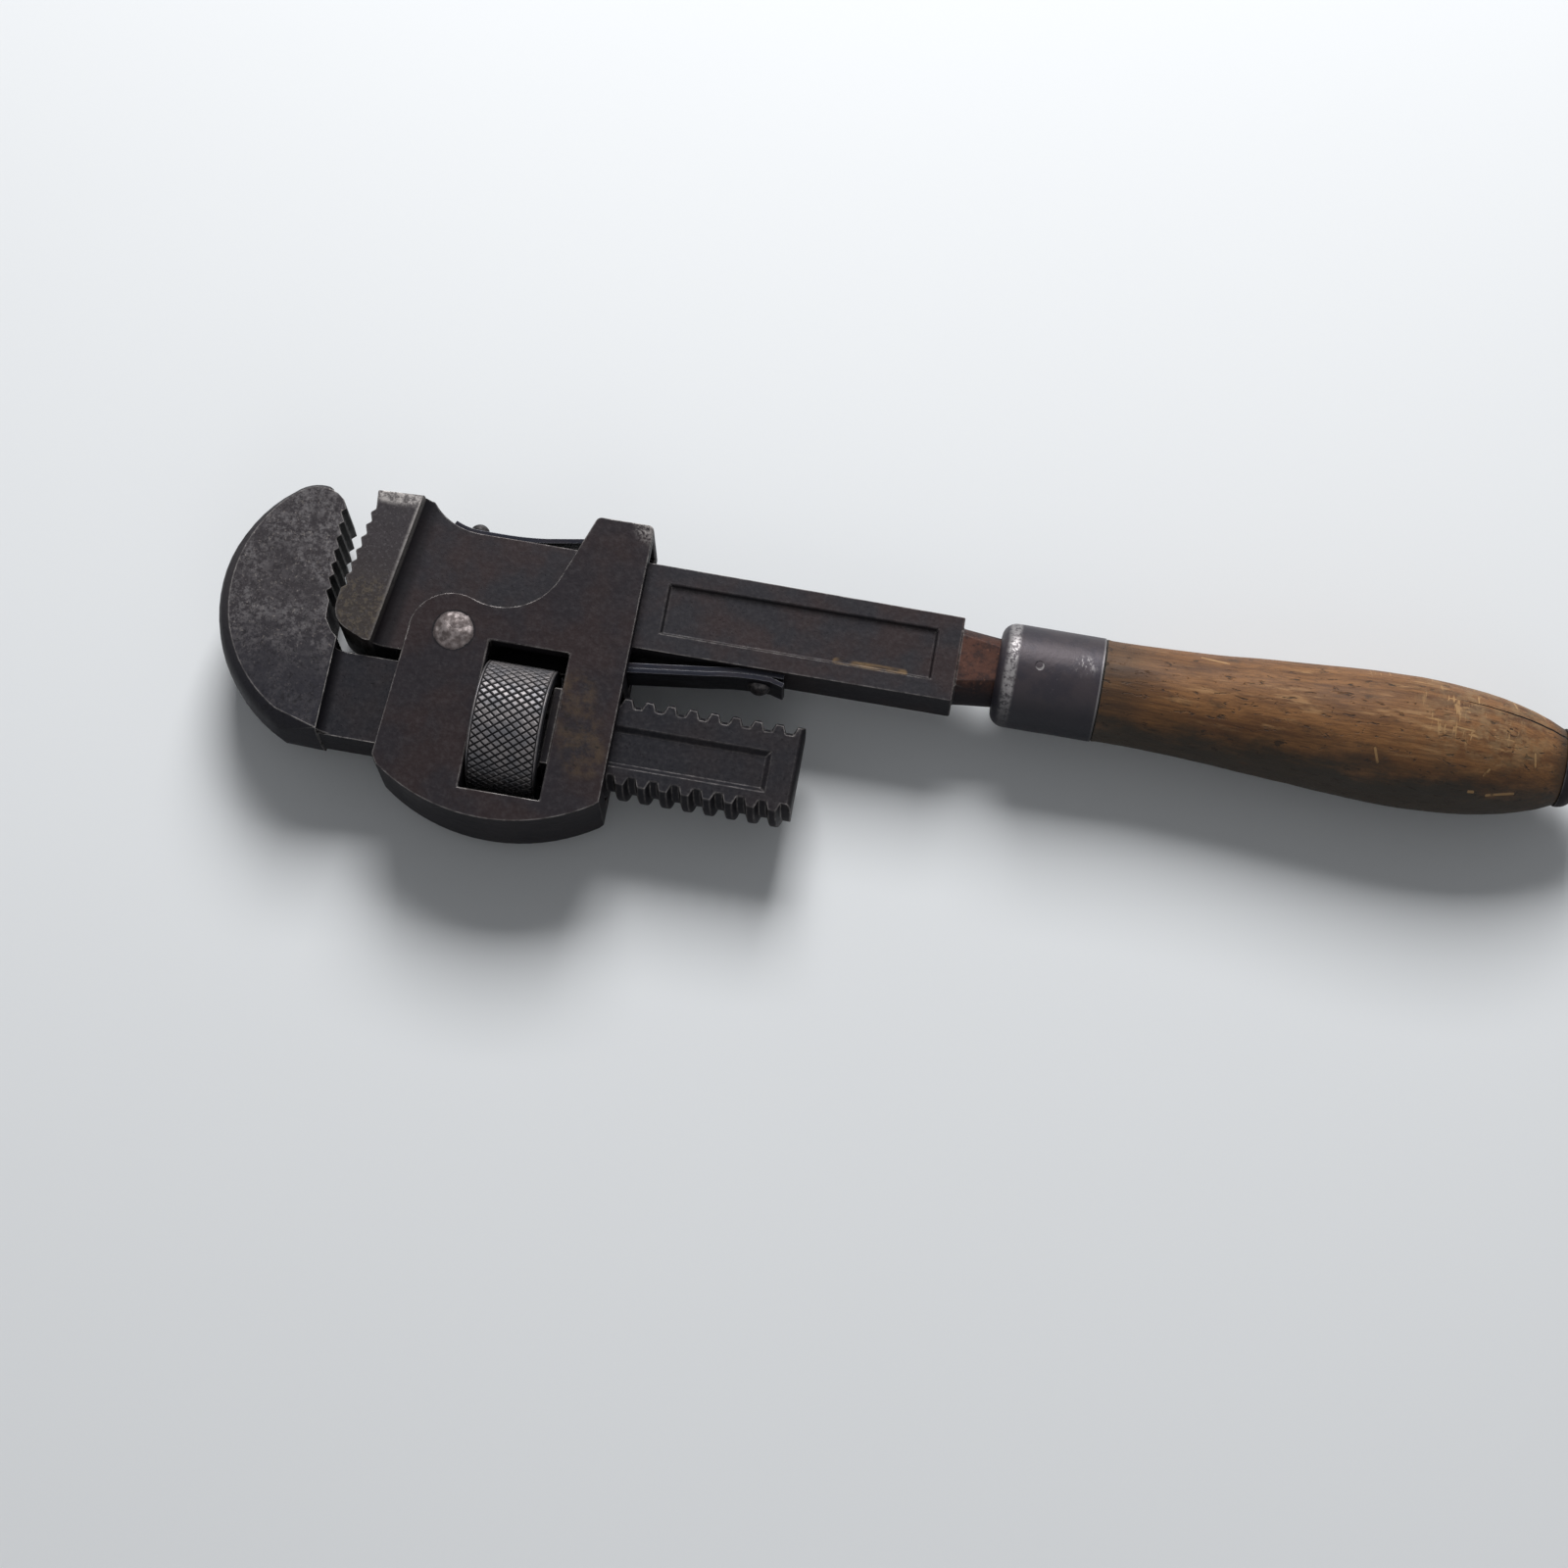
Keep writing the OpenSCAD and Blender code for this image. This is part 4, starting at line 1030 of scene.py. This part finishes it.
class WRENCH_OT_springs(bpy.types.Operator):
    """Finish the leaf springs and their rivets"""

    bl_idname = "wrench.springs"
    bl_label = "Springs"

    BARE_EDGE = (0.20, 0.20, 0.215)
    RIVET_SKIN = (0.022, 0.020, 0.022)
    RIVET_RUBBED = (0.075, 0.068, 0.068)

    def execute(self, context):
        spring = self.spring_finish(context.scene.wrench_steel)
        # For each leaf, the place of its rivet and the place of its tip; on the real wrench the tip stays
        # with the frame as that rocks
        lower = (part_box("lower_spring_rivet")[0].x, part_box("lower_spring_upper_leaf")[0].x)
        leaves = {
            "top_spring": (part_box("top_spring_rivet")[1].x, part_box("top_spring")[1].x),
            "lower_spring_upper_leaf": lower,
            "lower_spring_lower_leaf": lower,
        }
        for node, (held, tip) in leaves.items():
            name = node + ("_blued" if "leaf" in node else "_leaf")
            piece = dress_copy(node, name, 0.13 * MM, None, "spring_steel", spring, sharp=50)
            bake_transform(piece)
        rivet = self.rivet_finish()
        for node in ("top_spring_rivet", "lower_spring_rivet"):
            coat(node, rivet)
        return {"FINISHED"}

    def spring_finish(self, steel):
        """Blued steel with brown streaks, rubbed edges, and upright faces darkened as painted shade"""
        f = Finish("Blued spring", steel.spring_blue)
        streak = f.noise(2.5 * MM, 5, 0.6, f.mapped((0.25, 1, 1)))
        f.paint(steel.patina, f.band(streak, 0.42, 0.7, 0, 0.4))
        # Painted shade: upright faces are darkened towards the grime colour
        f.paint(steel.grime_and_shade, f.band(f.level(), 0.35, 0.80, 0.6, 0))
        edge = f.both(f.edges(0.20 * MM, 0.01, 0.09), f.band(streak, 0.30, 0.48, 0.45, 1.0))
        f.paint(self.BARE_EDGE, edge, 0.85)
        return f.finish(f.band(streak, 0.3, 0.7, 0.38, 0.52), 0.5,
                        f.relief(f.noise(0.8 * MM, 4), 0.04 * MM), 0.15)

    def rivet_finish(self):
        """Dark steel with rubbed spots"""
        f = Finish("Small rivets", self.RIVET_SKIN)
        grain = f.noise(0.6 * MM, 4, 0.6)
        f.paint(self.RIVET_RUBBED, f.band(grain, 0.42, 0.62))
        return f.finish(0.5, 0.5, f.relief(grain, 0.05 * MM), 0.35)


class WRENCH_OT_ferrule(bpy.types.Operator):
    """Turn the ferrule: a blackened tube with a rubbed front band and rim"""

    bl_idname = "wrench.ferrule"
    bl_label = "Ferrule"

    CLOUD = (0.026, 0.022, 0.029)
    SHADE = (0.007, 0.007, 0.011)
    BARE = (0.28, 0.265, 0.265)

    def execute(self, context):
        steel = context.scene.wrench_steel
        piece = turned_piece("ferrule", "ferrule_tube", step=1.4 * MM, sides=128)
        round_edges(piece, width=0.18 * MM)
        dent(piece, "CLOUDS", size=5 * MM, depth=0.10 * MM)
        shade(piece)
        settle(piece, "handle", "ferrule_steel", self.tube_finish(steel), "ferrule")
        return {"FINISHED"}

    def tube_finish(self, steel):
        """Blackened steel with a rubbed band, a patch, a nick and small flecks, and painted shade on its
        underside
        """
        f = Finish("Ferrule steel", steel.ferrule_skin)
        axis = middle("ferrule")
        radius = (FERRULE_HIGH.z - FERRULE_LOW.z) / 2
        length = FERRULE_HIGH.x - FERRULE_LOW.x
        x = f.along(TO_HANDLE, FERRULE_LOW)
        low = f.slope(UNDERNEATH, axis, radius)
        grain = f.noise(0.7 * MM, 5, 0.7)
        clouds = f.noise(5 * MM, 4, 0.6)
        f.paint(self.CLOUD, f.band(clouds, 0.4, 0.65))
        # Painted shade: the tube darkens towards its underside, and the rubbed band, the flecks and the rim
        # fade out towards it
        f.paint(self.SHADE, f.band(low, -0.25, 0.65, 0, 0.92))
        front = f.both(f.between(x, 1.0 * MM, 1.9 * MM, 3.1 * MM, 3.9 * MM),
                       f.band(f.noise(0.9 * MM, 5, 0.7), 0.38, 0.56, 0.12, 1.0),
                       f.band(low, -0.2, 0.85, 1.0, 0.12))
        patch = f.both(f.spot((FERRULE_LOW.x + 16 * MM, axis.y + 0.9 * MM, axis.z + radius), 1.9 * MM),
                       f.band(f.noise(0.8 * MM, 4, 0.7, f.mapped((1, 0.4, 1))), 0.52, 0.62))
        nick_at = Vector((FERRULE_LOW.x + 7.7 * MM, axis.y - 0.5 * MM, axis.z + radius))
        outer = f.spot(nick_at, 0.85 * MM, 0.12)
        inner = f.spot(nick_at + Vector((-0.20 * MM, 0.25 * MM, 0)), 0.75 * MM, 0.15)
        nick = f.both(outer, f.calc("SUBTRACT", 1.0, inner))
        flecks = f.both(f.band(grain, 0.62, 0.70), f.band(clouds, 0.45, 0.6), f.fall(low, -0.5, 0.3))
        rim = f.both(f.band(x, length - 0.50 * MM, length - 0.38 * MM),
                     f.band(low, -0.1, 0.8, 0.40, 0.12))
        bare = f.either(f.both(front, 0.85), f.both(patch, 0.45), f.both(nick, 0.6),
                        f.both(flecks, 0.3), rim)
        f.paint(self.BARE, bare)
        normal = f.relief(f.noise(1.5 * MM, 5, 0.6), 0.08 * MM)
        normal = f.pressed(outer, 0.12 * MM, normal)
        return f.finish(f.band(bare, 0, 1, 0.48, 0.38), f.band(bare, 0, 1, 0.4, 0.7), normal, 0.35)


class WRENCH_OT_grip(bpy.types.Operator):
    """Turn the wooden grip, wear hollows in it and open its drying crack"""

    bl_idname = "wrench.grip"
    bl_label = "Wooden grip"

    # Turn of the row of vertices that the crack follows, from the top towards the back
    CRACK_TURN = math.radians(31.5)
    CRACK_LENGTH = 20 * MM
    CRACK_WIDTH = 0.22 * MM
    # The dark line of the crack fades out over this length beyond its open part
    CRACK_FADE = 3 * MM
    # Nearer to the axis than this, the hollows and the crack leave the vertices where they are
    HOLLOWS_FROM = 7 * MM
    CRACK_FROM = 6 * MM

    GOLD = (0.36, 0.205, 0.095)
    FLECK = (0.020, 0.013, 0.009)
    PALE = (0.28, 0.19, 0.10)
    CRACK_DARK = (0.012, 0.009, 0.007)

    def execute(self, context):
        wood = context.scene.wrench_wood
        piece = turned_piece("wooden_handle", "wooden_grip", step=1.05 * MM, sides=160)
        round_edges(piece, width=0.25 * MM, sharp=50)
        outside = piece.vertex_groups.new(name="Outside")
        outside.add([v.index for v in piece.data.vertices
                     if off_axis(v.co, GRIP_AXIS) > self.HOLLOWS_FROM and v.co.x > FERRULE_HIGH.x + MM],
                    1.0, "REPLACE")
        dent(piece, "CLOUDS", size=9 * MM, depth=wood.waviness, detail=1, vertex_group=outside.name)
        piece.vertex_groups.clear()
        self.open_crack(piece, wood)
        shade(piece, angle=40)
        settle(piece, "handle", "handle_wood", self.wood_finish(wood), "wooden_handle")
        return {"FINISHED"}

    def on_crack(self, point):
        """Whether a point lies on the line that the crack follows"""
        turn = math.atan2(point.y - GRIP_AXIS.y, point.z - GRIP_AXIS.z)
        return (abs(turn - self.CRACK_TURN) < math.radians(0.3)
                and GRIP_HIGH.x - self.CRACK_LENGTH < point.x < GRIP_HIGH.x - 0.6 * MM
                and off_axis(point, GRIP_AXIS) > self.CRACK_FROM)

    def open_crack(self, piece, wood):
        """Splits one line of edges along the grain and presses its middle in"""
        points = piece.data.vertices
        pick(piece, "EDGE", lambda e: all(self.on_crack(points[i].co) for i in e.vertices))
        bpy.ops.mesh.bevel(offset=self.CRACK_WIDTH / 2, segments=2, affect="EDGES")
        pick(piece, "VERT", lambda v: self.on_crack(v.co)
             and GRIP_HIGH.x - self.CRACK_LENGTH + MM < v.co.x)
        inward = -wood.crack * Vector((0, math.sin(self.CRACK_TURN), math.cos(self.CRACK_TURN)))
        bpy.ops.transform.translate(value=inward)
        only(piece)

    def wood_finish(self, wood):
        """Fibres, dirt with painted shade under the grip, dark flecks, fresh scratches and the crack, one
        over the other
        """
        f = Finish("Oiled wood", wood.honey)
        x = f.along(TO_HANDLE, (FERRULE_HIGH.x, 0, 0))
        low = f.slope(UNDERNEATH, GRIP_AXIS, GRIP_RADIUS)
        grain = f.noise(2.4 * MM, 6, 0.65, f.mapped((0.10, 1, 1)), 0.4)
        fibre = f.noise(0.38 * MM, 5, 0.75, f.mapped((0.09, 1, 1)))
        flecks = f.noise(0.9 * MM, 3, 0.6, f.mapped((0.35, 1, 1)), 0.6)
        clouds = f.noise(14 * MM, 4, 0.55)
        stains = f.noise(4 * MM, 5, 0.65, f.mapped((0.5, 1, 1)))
        f.paint(wood.umber, f.band(grain, 0.40, 0.72))
        f.paint(wood.umber, f.band(fibre, 0.42, 0.62, 0.0, 0.62))
        gold = f.both(f.band(f.noise(1.5 * MM, 4, 0.65, f.mapped((0.13, 1, 1))), 0.54, 0.66),
                      f.band(clouds, 0.40, 0.58), f.fall(low, -0.1, 0.3))
        f.paint(self.GOLD, gold, 0.6)
        front = f.fall(f.calc("ADD", x, f.both(clouds, 9 * MM)), 4 * MM, 20 * MM)
        # Painted shade: the grip darkens towards its underside, broken up by the stains
        under = f.band(f.calc("ADD", low, f.both(f.calc("SUBTRACT", stains, 0.5), 1.1)), -0.10, 0.52)
        tail = f.band(x, 82 * MM, 86 * MM, 0, 0.75)
        seam = f.band(x, 0.22 * MM, 0.42 * MM, 0.95, 0)
        dirt_and_shade = f.either(f.both(front, 0.55), f.both(under, 0.94), tail, seam,
                        f.band(stains, 0.56, 0.70, 0, 0.55))
        f.paint(wood.grime_and_shade, dirt_and_shade)
        f.paint(self.FLECK, f.band(flecks, 0.60, 0.68, 0, 0.85))
        bare = f.either(self.scratches(f, x, clouds), self.nicks(f))
        f.paint(wood.scratch, bare, 0.70)
        pale = f.both(f.between(x, 52 * MM, 66 * MM, 80 * MM, 85 * MM), f.fall(low, -0.4, 0.2),
                      f.band(f.noise(3 * MM, 5, 0.7), 0.42, 0.62))
        f.paint(self.PALE, pale, 0.40)
        f.paint(self.CRACK_DARK, self.crack_line(f))
        roughness = f.band(clouds, 0.3, 0.7, 0.50, 0.64)
        normal = f.relief(fibre, 0.05 * MM)
        normal = f.pressed(f.band(flecks, 0.58, 0.70), 0.10 * MM, normal)
        normal = f.relief(grain, 0.07 * MM, normal)
        normal = f.pressed(bare, 0.05 * MM, normal)
        return f.finish(roughness, None, normal, 0.2)

    def crack_line(self, f):
        """The dark line of the crack, which reaches a little beyond its open part"""
        sin, cos = math.sin(self.CRACK_TURN), math.cos(self.CRACK_TURN)
        wobble = f.both(f.calc("SUBTRACT", f.noise(3 * MM, 3), 0.5), 0.5 * MM)
        aside = f.calc("ABSOLUTE", f.calc("ADD", f.along((0, cos, -sin), GRIP_AXIS), wobble))
        from_end = f.along((-1, 0, 0), GRIP_HIGH)
        tip = self.CRACK_LENGTH + self.CRACK_FADE
        width = f.band(from_end, 2 * MM, tip, 0.30 * MM, 0.08 * MM)
        return f.both(f.calc("LESS_THAN", aside, width),
                      f.band(f.along((0, sin, cos), GRIP_AXIS), 4 * MM, 5 * MM),
                      f.band(from_end, self.CRACK_LENGTH, tip, 0.9, 0))

    def scratches(self, f, x, clouds):
        """Fresh scratches along and across the grain, near the end of the grip"""
        behind = f.slope(TO_BACK, GRIP_AXIS, GRIP_RADIUS)
        main = f.both(f.band(f.calc("ADD", x, f.both(clouds, 10 * MM)), 62 * MM, 69 * MM),
                      f.fall(x, 73 * MM, 79 * MM), f.band(behind, -0.40, 0.0))
        ridge = f.both(f.between(x, 44 * MM, 52 * MM, 64 * MM, 70 * MM),
                       f.band(behind, 0.60, 0.80), 0.7)
        where = f.both(f.either(main, ridge), f.band(f.along(UP, GRIP_AXIS), -MM, MM))
        lengthwise = f.band(f.noise(0.7 * MM, 3, 0.5, f.mapped((0.12, 1, 1))), 0.58, 0.65)
        crosswise = f.band(f.noise(0.6 * MM, 3, 0.5, f.mapped((1, 0.14, 0.14))), 0.585, 0.65)
        patchy = f.band(f.noise(4.5 * MM, 4, 0.6), 0.44, 0.56)
        return f.both(f.either(lengthwise, crosswise), where, patchy)

    def nicks(self, f):
        """A few single scratches on the side that is seen from above"""
        # Where each scratch starts and ends, before the grip's end and beside its axis, and its width
        marks = (
            ((-35.4, -5.8), (-34.5, -7.9), 0.50), ((-15.1, -7.0), (-14.3, -5.9), 0.40),
            ((-17.1, -9.7), (-16.2, -9.6), 0.40), ((-13.7, -9.6), (-8.8, -8.4), 0.34),
            ((-10.6, 9.1), (-10.2, 7.4), 0.40), ((-6.4, -1.4), (-6.0, -3.6), 0.40),
            ((-5.1, 8.3), (-4.6, 6.9), 0.40), ((-68.4, 7.3), (-63.5, 6.6), 0.45),
        )
        seen = f.flat()
        strokes = (f.stroke(*((GRIP_HIGH.x + px * MM, GRIP_AXIS.y + py * MM, 0) for px, py in ends),
                            width * MM, seen) for *ends, width in marks)
        return f.both(f.either(*strokes), f.band(f.noise(1.2 * MM, 3), 0.23, 0.5),
                      f.band(f.along(UP, GRIP_AXIS), 0, MM))


class WRENCH_OT_cap(bpy.types.Operator):
    """Turn the end cap and the round nut on the tang"""

    bl_idname = "wrench.cap"
    bl_label = "End cap"

    SKIN = (0.020, 0.018, 0.021)

    def execute(self, context):
        steel = context.scene.wrench_steel
        material = forged("Cap steel", steel, self.SKIN, steel.patina, wear=0.5)
        for node, name in (("end_cap", "end_cap_dome"), ("tang_nut", "tang_nut_round")):
            piece = turned_piece(node, name, step=1.0 * MM, sides=96)
            round_edges(piece, width=0.16 * MM)
            shade(piece)
            settle(piece, "handle", "cap_steel", material, node)
        return {"FINISHED"}


class WRENCH_OT_studio(bpy.types.Operator):
    """Build the pale floor, the soft lights and the camera"""

    bl_idname = "wrench.studio"
    bl_label = "Studio"

    FLOOR_SIZE = 6
    # Name, place and size of each light
    KEY_LIGHT = ("Key light", (-0.10, 0.78, 0.68), 0.50)
    FILL_LIGHT = ("Fill light", (0.25, -0.75, 0.55), 0.60)
    SENSOR_WIDTH = 36
    CAMERA_PLACE = (0.010716, -0.169903, 0.550379)
    CAMERA_TURN = [math.radians(a) for a in (16.5785, 0.0701, 10.0940)]

    def execute(self, context):
        studio = context.scene.wrench_studio
        floor = new_piece(bpy.ops.mesh.primitive_plane_add, "floor", size=self.FLOOR_SIZE)
        f = Finish("Floor", studio.floor)
        f.paint([c * 0.97 for c in studio.floor], f.noise(0.25, 3))
        floor.data.materials.append(f.finish(0.7))
        self.light_all_round(context, studio)
        self.lamp(*self.KEY_LIGHT, studio.key_power)
        self.lamp(*self.FILL_LIGHT, studio.fill_power)
        data = bpy.data.cameras.new("Camera")
        data.lens = studio.lens
        data.sensor_width = self.SENSOR_WIDTH
        camera = bpy.data.objects.new("Camera", data)
        context.scene.collection.objects.link(camera)
        camera.location = self.CAMERA_PLACE
        camera.rotation_euler = self.CAMERA_TURN
        context.scene.camera = camera
        context.scene.view_settings.view_transform = "Standard"
        return {"FINISHED"}

    def light_all_round(self, context, studio):
        """A dim world that the camera and the mirrored rays see at full strength"""
        world = context.scene.world or bpy.data.worlds.new("Studio")
        context.scene.world = world
        world.use_nodes = True
        world.node_tree.nodes.clear()
        sky = Nodes(world.node_tree)
        rays = sky.add("ShaderNodeLightPath").outputs
        dim, full = (sky.add("ShaderNodeBackground", {"Color": studio.floor, "Strength": strength})
                     for strength in (studio.ambient, 1.0))
        sees = sky.either(*(rays["Is %s Ray" % kind] for kind in ("Camera", "Glossy", "Transmission")))
        mix = sky.add("ShaderNodeMixShader", {0: sees, 1: dim.outputs[0], 2: full.outputs[0]})
        sky.add("ShaderNodeOutputWorld", {0: mix.outputs[0]})

    def lamp(self, name, place, size, power):
        """A soft square light that looks at the origin"""
        data = bpy.data.lights.new(name, "AREA")
        data.size = size
        data.energy = power
        lamp = bpy.data.objects.new(name, data)
        bpy.context.scene.collection.objects.link(lamp)
        lamp.location = place
        lamp.rotation_euler = Vector(place).to_track_quat("Z", "Y").to_euler()


# ---- Panel and registration ----

STEPS = (WRENCH_OT_bar, WRENCH_OT_hook, WRENCH_OT_frame, WRENCH_OT_pin, WRENCH_OT_nut,
         WRENCH_OT_springs, WRENCH_OT_ferrule, WRENCH_OT_grip, WRENCH_OT_cap, WRENCH_OT_studio)
SETTINGS = {"wrench_steel": WrenchSteel, "wrench_nut": WrenchNut,
            "wrench_wood": WrenchWood, "wrench_studio": WrenchStudio}


class VIEW3D_PT_wrench(bpy.types.Panel):
    """Lists the wrench's pieces and their settings"""

    bl_idname = "VIEW3D_PT_wrench"
    bl_label = "Pipe Wrench"
    bl_space_type = "VIEW_3D"
    bl_region_type = "UI"
    bl_category = "Wrench"

    def draw(self, context):
        layout = self.layout
        for step in STEPS:
            layout.operator(step.bl_idname)
        for name, group in SETTINGS.items():
            box = layout.box()
            box.label(text=group.__doc__)
            for field in group.__annotations__:
                box.prop(getattr(context.scene, name), field)


def register():
    """Registers the classes and hangs the settings on the scene"""
    for cls in (*SETTINGS.values(), *STEPS, VIEW3D_PT_wrench):
        bpy.utils.register_class(cls)
    for name, group in SETTINGS.items():
        setattr(bpy.types.Scene, name, bpy.props.PointerProperty(type=group))


def unregister():
    """Takes the settings off the scene and unregisters the classes"""
    for name in SETTINGS:
        delattr(bpy.types.Scene, name)
    for cls in reversed((*SETTINGS.values(), *STEPS, VIEW3D_PT_wrench)):
        bpy.utils.unregister_class(cls)


def main():
    register()
    bpy.ops.wrench.studio()
    bpy.ops.wrench.bar()
    bpy.ops.wrench.hook()
    bpy.ops.wrench.frame()
    bpy.ops.wrench.pin()
    bpy.ops.wrench.nut()
    bpy.ops.wrench.springs()
    bpy.ops.wrench.ferrule()
    bpy.ops.wrench.grip()
    bpy.ops.wrench.cap()
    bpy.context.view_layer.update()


if __name__ == "__main__":
    main()
